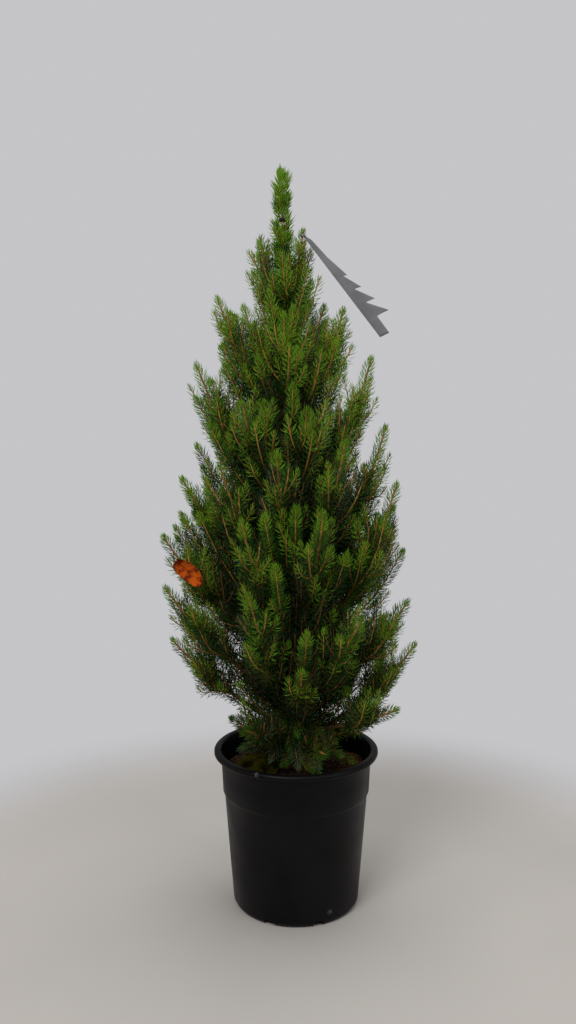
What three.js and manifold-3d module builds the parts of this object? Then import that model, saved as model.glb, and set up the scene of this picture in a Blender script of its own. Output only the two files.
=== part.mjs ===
// A potted dwarf spruce: a narrow conifer with upswept plumes of needles in a round nursery pot.
// Millimetres, +Z up. The origin is the centre of the pot's flat underside and -Y faces the viewer.

import * as THREE from "three";
import { mergeVertices } from "three/addons/utils/BufferGeometryUtils.js";
import Module from "manifold-3d";

const wasm = await Module();
wasm.setup();

// The gap kept where one piece meets the next.
const GAP = 0.3;
const UP = new THREE.Vector3(0, 0, 1);
const GOLDEN_SHARE = (Math.sqrt(5) - 1) / 2;

// The pot: a tapered wall, a wider collar over a small step, and a thick lip.
const POT = {
  height: 235,
  underside: 90,
  footRadius: 94,
  footHeight: 6,
  stepRadius: 106.5,
  stepHeight: 168,
  stepRise: 4,
  collarRadius: 109,
  neckRadius: 111.5,
  lipRadius: 122,
  lipDepth: 9,
  lipRounding: 3.5,
  lipMiddle: [0.71, 0.29],
  mouthStep: 1,
  mouthDepth: 2,
  wall: 2.2,
  floor: 3,
  sides: 36,
};
const DRAIN = { count: 8, width: 15, height: 7, depth: 20, inset: 5, firstAngle: 0.35 };

// The potting soil: it fills the pot to a little under the rim and is lumpy away from the trunk.
const SOIL = {
  top: 205,
  clearance: 1.2,
  heel: 4,
  heelRise: 2,
  shoulderRise: 6,
  hollow: 7,
  flatRadius: 24,
  innerRadius: 12,
  slope: 25,
  sides: 20,
  rings: 3,
};
const MOSS = {
  x: -56,
  y: -20,
  radius: 28,
  height: 20,
  stretch: [1.15, 0.8],
  arc: 1.25,
  unevenness: 0.12,
  apron: 10,
  sides: 12,
  rings: 3,
};

// The trunk: from a flared foot on the soil to the root of the leader.
const TRUNK = {
  foot: SOIL.top + GAP,
  tip: 930,
  footRadius: 13.5,
  tipRadius: 2.6,
  taper: 0.85,
  flare: 8,
  flareHeight: 18,
  flareLobes: 5,
  lean: -21,
  bow: 0.45,
  sway: 2.2,
  swayTurns: 9,
  sides: 10,
  rings: 14,
  ringCrowding: 1.35,
};

// Boughs and stems taper along their whole length, from the trunk to the plume's tip.
const LIMB = {
  rootShare: 0.5,
  thickest: 5,
  thinnest: 2.2,
  tipRadius: 1.2,
  taper: 0.8,
  boughShare: 0.34,
  samples: 12,
  sides: 5,
  rings: 4,
};
// A plume that reaches this far or farther from the trunk is carried by a bough of its own.
const MAIN_BOUGH_REACH = 160;
// The plumes of a tier leave the trunk over this height, so that their roots don't crowd.
const JOINT_STAGGER = 40;

// Shoots: slim four-sided cores whose every second corner is drawn out into a needle.
const SHOOT = {
  sides: 4,
  twist: 0.5,
  coreRadius: 1.9,
  ringStep: 21,
  needle: 23,
  needleTaper: 0.8,
  unevenness: 0.12,
  forward: 0.7,
  tip: 15,
  fan: 240,
  fanShift: 0.3,
  bareShare: 0.24,
  firstShare: 0.12,
  lastShare: 0.7,
  lowestLength: 1.08,
  highestLength: 0.52,
  shortest: 36,
  shortening: 0.86,
  sideRise: 0.2,
  spread: 0.86,
  knee: 0.5,
  run: 0.78,
  rise: 0.52,
};

// The room kept round each piece, and where along a needle it is felt for.
const ROOM = {
  space: 1.2,
  shoot: 3.9,
  rim: 8,
  overRim: 3,
  overSoil: 4,
  trunkTip: 4,
  tie: 1.5,
  loop: 2,
  tag: 2.5,
};
const NEEDLE_PROBES = [0.12, 0.4, 0.7];
const SHOOT_PROBES = 4;

// The crown's outline: how far its needles stand out from the trunk at each height.
const OUTLINE = [
  [205, 96],
  [236, 118],
  [262, 150],
  [310, 168],
  [400, 186],
  [500, 194],
  [580, 186],
  [650, 168],
  [725, 152],
  [820, 132],
  [905, 102],
  [960, 66],
  [990, 42],
  [1080, 20],
];

// The crown in tiers, from the top down. Each tier has its height on the trunk, how its plumes bend,
// and its plumes as compass angle in degrees, reach from the trunk and height of the tip.
const TIERS = [
  {
    name: "top",
    joint: 884,
    bend: [0.62, 0.4],
    shoots: 3,
    length: 62,
    plumes: [[180, 36, 984], [317, 42, 994], [82, 44, 958]],
  },
  {
    name: "upper",
    joint: 722,
    bend: [0.64, 0.36],
    shoots: 5,
    length: 90,
    plumes: [[183, 98, 905], [0, 88, 890], [270, 50, 878], [92, 84, 872]],
  },
  {
    name: "shoulder",
    joint: 588,
    bend: [0.64, 0.36],
    shoots: 6,
    length: 98,
    plumes: [[177, 132, 812], [354, 127, 820], [230, 98, 756], [288, 96, 748], [85, 124, 785]],
  },
  {
    name: "middle",
    joint: 466,
    bend: [0.64, 0.36],
    shoots: 6,
    length: 100,
    plumes: [
      [183, 158, 648],
      [222, 128, 672],
      [263, 118, 690],
      [312, 122, 704],
      [3, 148, 723],
      [55, 146, 690],
      [128, 148, 694],
    ],
  },
  {
    name: "waist",
    joint: 372,
    bend: [0.64, 0.36],
    shoots: 5,
    length: 102,
    plumes: [
      [189, 188, 566],
      [243, 142, 600],
      [290, 140, 612],
      [340, 166, 644],
      [32, 172, 556],
      [92, 162, 592],
    ],
  },
  {
    name: "lower",
    joint: 304,
    bend: [0.62, 0.36],
    shoots: 5,
    length: 98,
    plumes: [
      [194, 190, 494],
      [246, 144, 500],
      [310, 156, 466],
      [356, 178, 468],
      [68, 170, 456],
      [142, 174, 506],
    ],
  },
  {
    name: "skirt",
    joint: 260,
    bend: [0.6, 0.36],
    shoots: 5,
    length: 84,
    plumes: [
      [182, 184, 408],
      [236, 132, 300],
      [276, 122, 392],
      [336, 172, 318],
      [0, 190, 400],
      [48, 168, 330],
      [118, 166, 344],
    ],
  },
  {
    name: "foot",
    joint: 240,
    bend: [0.6, 0.6],
    shoots: 4,
    length: 60,
    plumes: [[298, 106, 252]],
  },
];
const LEADER = { tip: 1064, radius: 2.5, tipRadius: 1.4, rings: 11, needle: 20 };

// The band round the leader, the blank plant tag and the dead leaf that lies in the crown.
const TIE = { height: 1002, width: 6, inner: 2.5, outer: 6, sides: 12 };
const TAG = {
  thickness: 1,
  length: 177,
  neckWidth: 6,
  footWidth: 14,
  teeth: 4,
  firstTooth: 81,
  toothStep: 24.5,
  toothReach: 16,
  toothGrowth: 5.6,
  notchSetback: 4,
  notchReach: 10.5,
  notchGrowth: 1.4,
  footSlant: 3,
  shoulder: [44.5, 9],
  neckStart: 12,
  stemWidth: 2.4,
  fall: 52,
  loopShare: 0.97,
  loopInner: 1.9,
  loopOuter: 4,
  loopHeight: 4,
  loopSides: 12,
  slab: { from: -3, beyond: 5, under: -4, over: 38 },
};
const DRY_LEAF = {
  length: 50,
  width: 25,
  thickness: 0.9,
  cup: 5,
  curl: 7,
  fall: 41,
  ends: [0.05, 0.95],
  lean: 0.85,
  fullness: 0.8,
  columns: [-1, -0.5, 0, 0.5, 1],
  rings: 7,
  place: [-150, -67.4, 510],
};

// A repeatable number between -1 and 1 for each seed.
function jitter(seed) {
  const wave = Math.sin(seed * 12.9898) * 43758.5453;
  return 2 * (wave - Math.floor(wave)) - 1;
}

function mix(a, b, t) {
  return a + (b - a) * t;
}

function vector(x, y, z) {
  return new THREE.Vector3(x, y, z);
}

function finish(color, roughness) {
  return new THREE.MeshStandardMaterial({ color, roughness, metalness: 0 });
}

const FINISH = {
  pot: finish(0x24262b, 0.45),
  soil: finish(0x2a1d15, 0.95),
  moss: finish(0x6d6a2a, 0.95),
  bark: finish(0x6b4a2c, 0.85),
  needles: finish(0x3c6b26, 0.6),
  tag: finish(0x83868b, 0.5),
  tie: finish(0x16181a, 0.6),
  leaf: finish(0xb0521d, 0.75),
};

// Closed surfaces and solids
// A skin over rings of equal count. Caps close both ends, the last one drawn out to a point.
// Where two neighbouring rings stagger their needles, each quad is split between its low corners.
function ringSkin(rings, start, end, staggered = false) {
  const count = rings[0].length;
  const points = [...rings.flat(), start, end];
  const first = points.length - 2;
  const last = points.length - 1;
  const faces = [];
  for (let j = 0; j < count; j += 1) {
    const next = (j + 1) % count;
    faces.push(first, next, j);
    for (let k = 0; k < rings.length - 1; k += 1) {
      const a = k * count + j;
      const b = k * count + next;
      const c = b + count;
      const d = a + count;
      const split = staggered && (k + j) % 2 === 0;
      faces.push(...(split ? [a, b, d, b, c, d] : [a, b, c, a, c, d]));
    }
    const row = (rings.length - 1) * count;
    faces.push(last, row + j, row + next);
  }
  const geometry = new THREE.BufferGeometry().setFromPoints(points);
  geometry.setIndex(faces);
  return geometry;
}

// A geometry as a solid that can be joined and cut.
function solidOf(geometry) {
  const bare = geometry.clone();
  bare.deleteAttribute("normal");
  bare.deleteAttribute("uv");
  const merged = mergeVertices(bare, 1e-3);
  return new wasm.Manifold(
    new wasm.Mesh({
      numProp: 3,
      vertProperties: merged.attributes.position.array,
      triVerts: new Uint32Array(merged.index.array),
    }),
  );
}

// The largest body of a solid, back as a geometry: a scrap that a cut left loose is dropped.
function geometryOf(solid) {
  const bodies = solid.decompose().sort((a, b) => b.volume() - a.volume());
  const { vertProperties, triVerts } = bodies[0].getMesh();
  const geometry = new THREE.BufferGeometry();
  geometry.setAttribute("position", new THREE.BufferAttribute(vertProperties, 3));
  geometry.setIndex(new THREE.BufferAttribute(triVerts, 1));
  geometry.computeVertexNormals();
  return geometry;
}

function part(name, geometry, material) {
  const mesh = new THREE.Mesh(geometry, material);
  mesh.name = name;
  return mesh;
}

// Rings square to a row of points. The first may face another way, as a limb's root on the trunk does.
function ringsAlong(points, sides, cornerAt, firstFacing = null, twist = 0) {
  const side = vector(0.31, 0.9, 0.17);
  return points.map((point, k) => {
    const before = points[Math.max(k - 1, 0)];
    const after = points[Math.min(k + 1, points.length - 1)];
    const facing = k === 0 && firstFacing ? firstFacing : after.clone().sub(before).normalize();
    side.addScaledVector(facing, -side.dot(facing)).normalize();
    const across = facing.clone().cross(side);
    return Array.from({ length: sides }, (_, j) => {
      const angle = (2 * Math.PI * j) / sides + k * twist;
      const out = side.clone().multiplyScalar(Math.cos(angle)).addScaledVector(across, Math.sin(angle));
      return cornerAt(point, out, facing, k, j);
    });
  });
}

// Pot
function potProfile() {
  const rim = POT.lipRadius - POT.lipRounding;
  const under = POT.height - POT.lipDepth;
  const outer = [
    [0, 0],
    [POT.underside, 0],
    [POT.footRadius, POT.footHeight],
    [POT.stepRadius, POT.stepHeight],
    [POT.collarRadius, POT.stepHeight + POT.stepRise],
    [POT.neckRadius, under],
    [rim, under],
    [POT.lipRadius, under + POT.lipRounding],
    [POT.lipRadius, POT.height - POT.lipRounding],
    [mix(rim, POT.lipRadius, POT.lipMiddle[0]), POT.height - POT.lipRounding * POT.lipMiddle[1]],
    [rim, POT.height],
  ];
  const inner = [
    [POT.neckRadius + POT.mouthStep, POT.height],
    [POT.neckRadius - POT.wall, POT.height - POT.mouthDepth],
    [POT.collarRadius - POT.wall, POT.stepHeight + POT.stepRise],
    [POT.stepRadius - POT.wall, POT.stepHeight],
    [POT.footRadius - POT.wall, POT.footHeight + POT.floor],
    [POT.underside - POT.wall, POT.floor],
    [0, POT.floor],
  ];
  return [...outer, ...inner].map(([radius, height]) => new THREE.Vector2(radius, height));
}

// The pot with its drain slots cut through the foot.
function makePot() {
  const shell = new THREE.LatheGeometry(potProfile(), POT.sides).rotateX(Math.PI / 2);
  let solid = solidOf(shell);
  for (let i = 0; i < DRAIN.count; i += 1) {
    const slot = new THREE.BoxGeometry(DRAIN.depth, DRAIN.width, 2 * DRAIN.height);
    slot.translate(POT.underside + DRAIN.depth / 2 - DRAIN.inset, 0, 0);
    slot.rotateZ(DRAIN.firstAngle + (2 * Math.PI * i) / DRAIN.count);
    solid = solid.subtract(solidOf(slot));
  }
  return part("pot", geometryOf(solid), FINISH.pot);
}

// The pot's inner radius at a height above its floor, with the gap to what fills it.
function soilRadius(z) {
  const share = Math.min(z / POT.stepHeight, 1);
  const lower = mix(POT.footRadius, POT.stepRadius, share);
  const upper = mix(POT.collarRadius, POT.neckRadius, (z - POT.stepHeight) / (POT.height - POT.stepHeight));
  return (z > POT.stepHeight + POT.stepRise ? upper : lower) - POT.wall - SOIL.clearance;
}

// The soil's height: level where the trunk and the moss stand on it, with hollows between them.
function soilTop(x, y) {
  const fromMoss = Math.hypot(x - MOSS.x, y - MOSS.y);
  const { smoothstep } = THREE.MathUtils;
  const byTrunk = smoothstep(Math.hypot(x, y), SOIL.flatRadius, SOIL.flatRadius + SOIL.slope);
  const byMoss = smoothstep(fromMoss, MOSS.apron, MOSS.radius + MOSS.apron);
  const waves = Math.sin(x * 0.071 + 1.3) * Math.cos(y * 0.083 - 0.4) + 0.5 * Math.sin((x + y) * 0.13);
  return SOIL.top - SOIL.hollow * byTrunk * byMoss * (0.5 + waves / 3);
}

// A column of soil: rings up its wall, then rings inwards over its top.
function makeSoil() {
  const heel = [POT.underside - POT.wall - SOIL.heel, () => POT.floor + GAP];
  const low = POT.footHeight + POT.floor + SOIL.heelRise;
  const heights = [low, POT.stepHeight, POT.stepHeight + SOIL.shoulderRise];
  const walls = [heel, ...heights.map((z) => [soilRadius(z), () => z])];
  const edge = soilRadius(SOIL.top);
  const inwards = (k) => mix(edge, SOIL.innerRadius, k / SOIL.rings);
  const tops = Array.from({ length: SOIL.rings }, (_, k) => [inwards(k), soilTop]);
  const rings = [...walls, ...tops].map(([radius, height]) =>
    Array.from({ length: SOIL.sides }, (_, j) => {
      const angle = (2 * Math.PI * j) / SOIL.sides;
      const x = radius * Math.cos(angle);
      const y = radius * Math.sin(angle);
      return vector(x, y, height(x, y));
    }),
  );
  const geometry = ringSkin(rings, vector(0, 0, POT.floor + GAP), vector(0, 0, SOIL.top));
  return part("soil", geometry, FINISH.soil);
}

// A low cushion of moss, flat underneath.
function makeMoss() {
  const rim = Array.from({ length: MOSS.rings + 1 }, (_, k) => {
    const arc = (MOSS.arc * k) / MOSS.rings;
    return Array.from({ length: MOSS.sides }, (_, j) => {
      const angle = (2 * Math.PI * j) / MOSS.sides;
      const reach = MOSS.radius * Math.cos(arc) * (1 + MOSS.unevenness * jitter(j + 7 * k));
      const x = MOSS.x + reach * Math.cos(angle) * MOSS.stretch[0];
      const y = MOSS.y + reach * Math.sin(angle) * MOSS.stretch[1];
      return vector(x, y, SOIL.top + GAP + MOSS.height * Math.sin(arc));
    });
  });
  const start = vector(MOSS.x, MOSS.y, SOIL.top + GAP);
  const end = vector(MOSS.x, MOSS.y, SOIL.top + GAP + MOSS.height);
  return part("moss_cushion", ringSkin(rim, start, end), FINISH.moss);
}

// Trunk
// The centre of the trunk at a height: it leans to the left with a slight bow and sway.
function trunkCentre(z) {
  const share = (z - TRUNK.foot) / (LEADER.tip - TRUNK.foot);
  const x = TRUNK.lean * share * (1 + TRUNK.bow * (1 - share));
  return vector(x, TRUNK.sway * Math.sin(share * TRUNK.swayTurns), z);
}

function trunkRadius(z) {
  const share = (z - TRUNK.foot) / (TRUNK.tip - TRUNK.foot);
  return mix(TRUNK.footRadius, TRUNK.tipRadius, Math.pow(Math.max(share, 0), TRUNK.taper));
}

// How far the root lobes stand out at a height.
function trunkFlare(z) {
  return TRUNK.flare * Math.exp((TRUNK.foot - z) / TRUNK.flareHeight);
}

// Level rings, the lowest spread by root lobes into the flare.
function makeTrunk() {
  const rings = Array.from({ length: TRUNK.rings }, (_, k) => {
    const z = mix(TRUNK.foot, TRUNK.tip, Math.pow(k / (TRUNK.rings - 1), TRUNK.ringCrowding));
    const centre = trunkCentre(z);
    return Array.from({ length: TRUNK.sides }, (_, j) => {
      const angle = (2 * Math.PI * j) / TRUNK.sides;
      const lobe = 0.5 + 0.5 * Math.cos(TRUNK.flareLobes * angle);
      const radius = trunkRadius(z) + trunkFlare(z) * lobe;
      return centre.clone().add(vector(radius * Math.cos(angle), radius * Math.sin(angle), 0));
    });
  });
  const geometry = ringSkin(rings, trunkCentre(TRUNK.foot), trunkCentre(TRUNK.tip));
  return part("trunk", geometry, FINISH.bark);
}

const trunk = makeTrunk();
const feeler = new THREE.Raycaster();

// How far out the trunk's facets reach behind a limb's root, felt by level rays.
function trunkReach(centre, out, radius) {
  const start = 4 * TRUNK.footRadius;
  const side = out.clone().cross(UP);
  const places = [[0, 0], [-1, 0], [1, 0], [0, -1], [0, 1]];
  const reaches = places.map(([across, rise]) => {
    const from = centre.clone().addScaledVector(out, start);
    from.addScaledVector(side, across * radius).addScaledVector(UP, rise * radius);
    feeler.set(from, out.clone().negate());
    const [hit] = feeler.intersectObject(trunk);
    return hit ? start - hit.distance : 0;
  });
  return Math.max(...reaches);
}

// Plumes: one path each, from the trunk's surface out and then up to the tip
function plumePath(tier, [degrees, reach, tipHeight], i) {
  const angle = THREE.MathUtils.degToRad(degrees);
  const out = vector(Math.cos(angle), Math.sin(angle), 0);
  const joint = tier.joint + JOINT_STAGGER * (((i + 1) * GOLDEN_SHARE) % 1 - 0.5);
  const centre = trunkCentre(joint);
  const rootRadius = THREE.MathUtils.clamp(LIMB.rootShare * trunkRadius(joint), LIMB.thinnest, LIMB.thickest);
  const root = centre.clone().addScaledVector(out, trunkReach(centre, out, rootRadius) + GAP);
  const knee = centre.clone().addScaledVector(out, reach * tier.bend[0]);
  knee.z = mix(joint, tipHeight, tier.bend[1]);
  const tip = trunkCentre(tipHeight).addScaledVector(out, reach);
  const end = tip.clone().addScaledVector(tip.clone().sub(knee).normalize(), -SHOOT.tip);
  return { out, rootRadius, curve: new THREE.QuadraticBezierCurve3(root, knee, end) };
}

const plumes = TIERS.flatMap((tier, t) =>
  tier.plumes.map((row, i) => {
    const seed = 10 * t + i + 1;
    const path = plumePath(tier, row, i);
    const carried = row[1] >= MAIN_BOUGH_REACH;
    return { ...path, tier, seed, carried, number: i + 1, samples: path.curve.getSpacedPoints(LIMB.samples) };
  }),
);
const leaderCurve = new THREE.LineCurve3(
  trunkCentre(TRUNK.tip).setZ(TRUNK.tip + GAP),
  trunkCentre(LEADER.tip),
);
const leader = { seed: 99, curve: leaderCurve, samples: leaderCurve.getSpacedPoints(3) };
const spaces = [...plumes, leader];

// The tag's place: on a shoot beside the leader, facing the viewer and falling to the right.
const tagBearer = plumes[1];
const tagRoot = tagBearer.curve.getPointAt(TAG.loopShare);
const tagFall = THREE.MathUtils.degToRad(TAG.fall);
const tagAlong = vector(Math.cos(tagFall), 0, -Math.sin(tagFall));
const tagAcross = vector(Math.sin(tagFall), 0, Math.cos(tagFall));
const tagFacing = tagAlong.clone().cross(tagAcross);

function limbRadius(plume, share) {
  return mix(plume.rootRadius, LIMB.tipRadius, Math.pow(share, LIMB.taper));
}

// The share of a plume's path where its bough ends, or 0 where it grows straight from the trunk.
function boughEnd(plume) {
  return plume.carried ? LIMB.boughShare : 0;
}

function makeBough(plume) {
  const points = Array.from({ length: LIMB.rings + 1 }, (_, k) =>
    plume.curve.getPointAt((k / LIMB.rings) * LIMB.boughShare),
  );
  const corner = (point, out, facing, k) =>
    point.clone().addScaledVector(out, limbRadius(plume, (k / LIMB.rings) * LIMB.boughShare));
  const rings = ringsAlong(points, LIMB.sides, corner, plume.out);
  const geometry = ringSkin(rings, points[0], points[LIMB.rings]);
  return part(`${plume.tier.name}_bough_${plume.number}`, geometry, FINISH.bark);
}

// Space: each mass keeps to the points that lie nearer to its own stem than to any other
const nearest = vector(0, 0, 0);
const segment = new THREE.Line3();

function distanceTo(samples, point) {
  let least = Infinity;
  for (let i = 1; i < samples.length; i += 1) {
    segment.set(samples[i - 1], samples[i]);
    segment.closestPointToPoint(point, true, nearest);
    least = Math.min(least, nearest.distanceTo(point));
  }
  return least;
}

const boughs = plumes.filter((plume) => plume.carried);
for (const plume of boughs) {
  plume.boughSamples = plume.samples.slice(0, Math.ceil(LIMB.samples * LIMB.boughShare) + 1);
}

function clearOfLimbs(point, margin) {
  if (point.z < TRUNK.tip + ROOM.trunkTip) {
    const centre = trunkCentre(point.z);
    const room = trunkRadius(point.z) + margin;
    if (Math.hypot(point.x - centre.x, point.y - centre.y) < room) return false;
  }
  return boughs.every((plume) => distanceTo(plume.boughSamples, point) > LIMB.thickest + margin);
}

function clearOfPot(point) {
  const radius = Math.hypot(point.x, point.y);
  if (radius > POT.neckRadius - ROOM.rim) return point.z > POT.height + ROOM.overRim;
  const fromMoss = Math.hypot((point.x - MOSS.x) / MOSS.stretch[0], point.y - MOSS.y);
  const cover = fromMoss < MOSS.radius + ROOM.overSoil ? MOSS.height : 0;
  return point.z > SOIL.top + cover + ROOM.overSoil;
}

// The band, the tag's loop and the slab that the tag fills stay free of needles.
function clearOfTrimmings(point) {
  const tie = trunkCentre(TIE.height);
  const byTie = Math.hypot(point.x - tie.x, point.y - tie.y) < TIE.outer + ROOM.tie;
  if (byTie && Math.abs(point.z - TIE.height) < TIE.width / 2 + ROOM.tie) return false;
  const offset = point.clone().sub(tagRoot);
  if (offset.length() < TAG.loopOuter + ROOM.loop) return false;
  const along = offset.dot(tagAlong);
  const across = offset.dot(tagAcross);
  const { from, beyond, under, over } = TAG.slab;
  const inSlab = along > from && along < TAG.length + beyond && across > under && across < over;
  return !inSlab || Math.abs(offset.dot(tagFacing)) > ROOM.tag;
}

// The crown's reach at a height, along straight lines between the rows of its outline.
function outlineReach(z) {
  const above = OUTLINE.findIndex(([height]) => height > z);
  if (above < 1) return above === 0 ? OUTLINE[0][1] : 0;
  const [lowHeight, lowReach] = OUTLINE[above - 1];
  const [highHeight, highReach] = OUTLINE[above];
  return mix(lowReach, highReach, (z - lowHeight) / (highHeight - lowHeight));
}

function insideOutline(point) {
  const centre = trunkCentre(point.z);
  return Math.hypot(point.x - centre.x, point.y - centre.y) < outlineReach(point.z);
}

function keepsToSpace(point, own, margin) {
  if (!insideOutline(point) || !clearOfPot(point)) return false;
  if (!clearOfTrimmings(point) || !clearOfLimbs(point, margin)) return false;
  const reach = distanceTo(own.samples, point) + 2 * margin;
  return spaces.every((other) => other === own || distanceTo(other.samples, point) > reach);
}

// Shoots
// The skin of one shoot: needles stand out forwards at every second corner, staggered ring by ring.
function shootSkin(points, coreRadius, bareRings, own, firstFacing = null, needle = SHOOT.needle) {
  const last = points.length - 1;
  const corner = (point, out, facing, k, j) => {
    const core = point.clone().addScaledVector(out, coreRadius(k));
    const bare = k < bareRings || k === last || (k + j) % 2 === 1;
    if (bare) return core;
    const uneven = 1 + SHOOT.unevenness * jitter(own.seed + 3 * k + j);
    const length = needle * mix(1, SHOOT.needleTaper, k / last) * uneven;
    const tip = point.clone().addScaledVector(out, length);
    tip.addScaledVector(facing, length * SHOOT.forward);
    const roots = [points[k - 1], point, points[k + 1]];
    const probes = roots.flatMap((root) => NEEDLE_PROBES.map((share) => root.clone().lerp(tip, share)));
    return [tip, ...probes].every((probe) => keepsToSpace(probe, own, ROOM.space)) ? tip : core;
  };
  const rings = ringsAlong(points, SHOOT.sides, corner, firstFacing, SHOOT.twist);
  const heading = points[last].clone().sub(points[last - 1]).normalize();
  const end = bareRings > last ? points[last] : points[last].clone().addScaledVector(heading, SHOOT.tip);
  return ringSkin(rings, points[0], end, true);
}

// A side shoot's path: out from the stem, then bent upwards. It is shortened until it keeps to the space.
function sideShootPoints(own, share, turn, length) {
  const root = own.curve.getPointAt(share);
  const along = own.curve.getTangentAt(share);
  const side = vector(Math.cos(turn), Math.sin(turn), SHOOT.sideRise);
  side.addScaledVector(along, -side.dot(along)).normalize();
  const heading = along.multiplyScalar(Math.cos(SHOOT.spread)).addScaledVector(side, Math.sin(SHOOT.spread));
  for (let reach = length; reach >= SHOOT.shortest; reach *= SHOOT.shortening) {
    const knee = root.clone().addScaledVector(heading, reach * SHOOT.knee);
    const end = root.clone().addScaledVector(heading, reach * SHOOT.run);
    end.addScaledVector(UP, reach * SHOOT.rise);
    const curve = new THREE.QuadraticBezierCurve3(root, knee, end);
    const steps = Math.max(Math.round(reach / SHOOT.ringStep), 2);
    const probes = curve.getSpacedPoints(steps * SHOOT_PROBES).slice(2);
    if (probes.every((point) => keepsToSpace(point, own, ROOM.shoot))) return curve.getSpacedPoints(steps);
  }
  return null;
}

// A mass: its stem, needled above its bare foot, and the side shoots set round it by the golden angle.
function makeMass(plume) {
  const from = boughEnd(plume);
  const length = plume.curve.getLength();
  const start = from + (from > 0 ? GAP / length : 0);
  const needled = from > 0 ? start : SHOOT.bareShare;
  const count = Math.round(((1 - needled) * length) / SHOOT.ringStep);
  const shares = Array.from({ length: count + 1 }, (_, k) => mix(needled, 1, k / count));
  if (needled > start) shares.unshift(start, mix(start, needled, 0.5));
  const points = shares.map((share) => plume.curve.getPointAt(share));
  const facing = from > 0 ? null : plume.out;
  const bareRings = needled > start ? 3 : 1;
  let solid = solidOf(shootSkin(points, (k) => limbRadius(plume, shares[k]), bareRings, plume, facing));
  const { shoots } = plume.tier;
  for (let i = 0; i < shoots; i += 1) {
    const share = mix(start + (1 - start) * SHOOT.firstShare, SHOOT.lastShare, i / (shoots - 1));
    const fan = (((i + 1) * GOLDEN_SHARE + SHOOT.fanShift * plume.number) % 1) - 0.5;
    const turn = Math.atan2(plume.out.y, plume.out.x) + THREE.MathUtils.degToRad(SHOOT.fan * fan);
    const reach = plume.tier.length * mix(SHOOT.lowestLength, SHOOT.highestLength, i / (shoots - 1));
    const side = sideShootPoints(plume, share, turn, reach);
    if (side) solid = solid.add(solidOf(shootSkin(side, () => SHOOT.coreRadius, 1, plume)));
  }
  return part(`${plume.tier.name}_foliage_${plume.number}`, geometryOf(solid), FINISH.needles);
}

// The leader: the topmost shoot, upright on the trunk's tip.
function makeLeader() {
  const points = leaderCurve.getSpacedPoints(LEADER.rings);
  const radius = (k) => mix(LEADER.radius, LEADER.tipRadius, k / LEADER.rings);
  const skin = shootSkin(points, radius, 1, leader, null, LEADER.needle);
  return part("leader_foliage", skin, FINISH.needles);
}

// Trimmings
// A square-edged ring about an upright line.
function band(inner, outer, height, sides) {
  const profile = [[inner, 0], [outer, 0], [outer, height], [inner, height], [inner, 0]];
  const points = profile.map(([radius, z]) => new THREE.Vector2(radius, z - height / 2));
  return new THREE.LatheGeometry(points, sides).rotateX(Math.PI / 2);
}

function makeTie() {
  const geometry = band(TIE.inner, TIE.outer, TIE.width, TIE.sides);
  const centre = trunkCentre(TIE.height);
  return part("leader_tie", geometry.translate(centre.x, centre.y, TIE.height), FINISH.tie);
}

// The tag's outline, half of a fir tree: one straight edge, and teeth that widen towards the foot.
function tagOutline() {
  const shape = new THREE.Shape();
  const stem = (TAG.loopInner + TAG.loopOuter) / 2;
  shape.moveTo(stem, 0);
  shape.lineTo(TAG.length, 0);
  shape.lineTo(TAG.length + TAG.footSlant, TAG.footWidth);
  for (let i = TAG.teeth - 1; i >= 0; i -= 1) {
    const at = TAG.firstTooth + i * TAG.toothStep;
    shape.lineTo(at - TAG.notchSetback, TAG.notchReach + i * TAG.notchGrowth);
    shape.lineTo(at, TAG.toothReach + i * TAG.toothGrowth);
  }
  shape.lineTo(...TAG.shoulder);
  shape.lineTo(TAG.neckStart, TAG.neckWidth);
  shape.lineTo(stem, TAG.stemWidth);
  return shape;
}

// The tag hangs by its loop from the shoot beside the leader.
function makeTag() {
  const plate = new THREE.ExtrudeGeometry(tagOutline(), { depth: TAG.thickness, bevelEnabled: false });
  plate.translate(0, 0, -TAG.thickness / 2);
  plate.applyMatrix4(new THREE.Matrix4().makeBasis(tagAlong, tagAcross, tagFacing));
  const loop = band(TAG.loopInner, TAG.loopOuter, TAG.loopHeight, TAG.loopSides);
  const turn = new THREE.Quaternion().setFromUnitVectors(UP, tagBearer.curve.getTangentAt(TAG.loopShare));
  loop.applyQuaternion(turn);
  const geometry = geometryOf(solidOf(plate).add(solidOf(loop)));
  return part("plant_tag", geometry.translate(...tagRoot), FINISH.tag);
}

// A curled oval leaf: closed rings across its width, cupped and rolled towards its stalk.
function makeDryLeaf() {
  const half = DRY_LEAF.width / 2;
  const { columns } = DRY_LEAF;
  const rings = Array.from({ length: DRY_LEAF.rings }, (_, k) => {
    const share = mix(...DRY_LEAF.ends, k / (DRY_LEAF.rings - 1));
    const width = half * Math.pow(Math.sin(Math.PI * Math.pow(share, DRY_LEAF.lean)), DRY_LEAF.fullness);
    const rise = (column) => DRY_LEAF.cup * column * column + DRY_LEAF.curl * Math.pow(2 * share - 1, 2);
    const at = (column, side) =>
      vector((share - 0.5) * DRY_LEAF.length, width * column, rise(column) + (side * DRY_LEAF.thickness) / 2);
    return [...columns.map((c) => at(c, -1)), ...[...columns].reverse().map((c) => at(c, 1))];
  });
  const ends = [-0.5, 0.5].map((share) => vector(share * DRY_LEAF.length, 0, DRY_LEAF.curl));
  const geometry = ringSkin(rings, ...ends);
  geometry.rotateX(Math.PI / 2).rotateY(THREE.MathUtils.degToRad(DRY_LEAF.fall));
  return part("dry_leaf", geometry.translate(...DRY_LEAF.place), FINISH.leaf);
}

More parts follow.
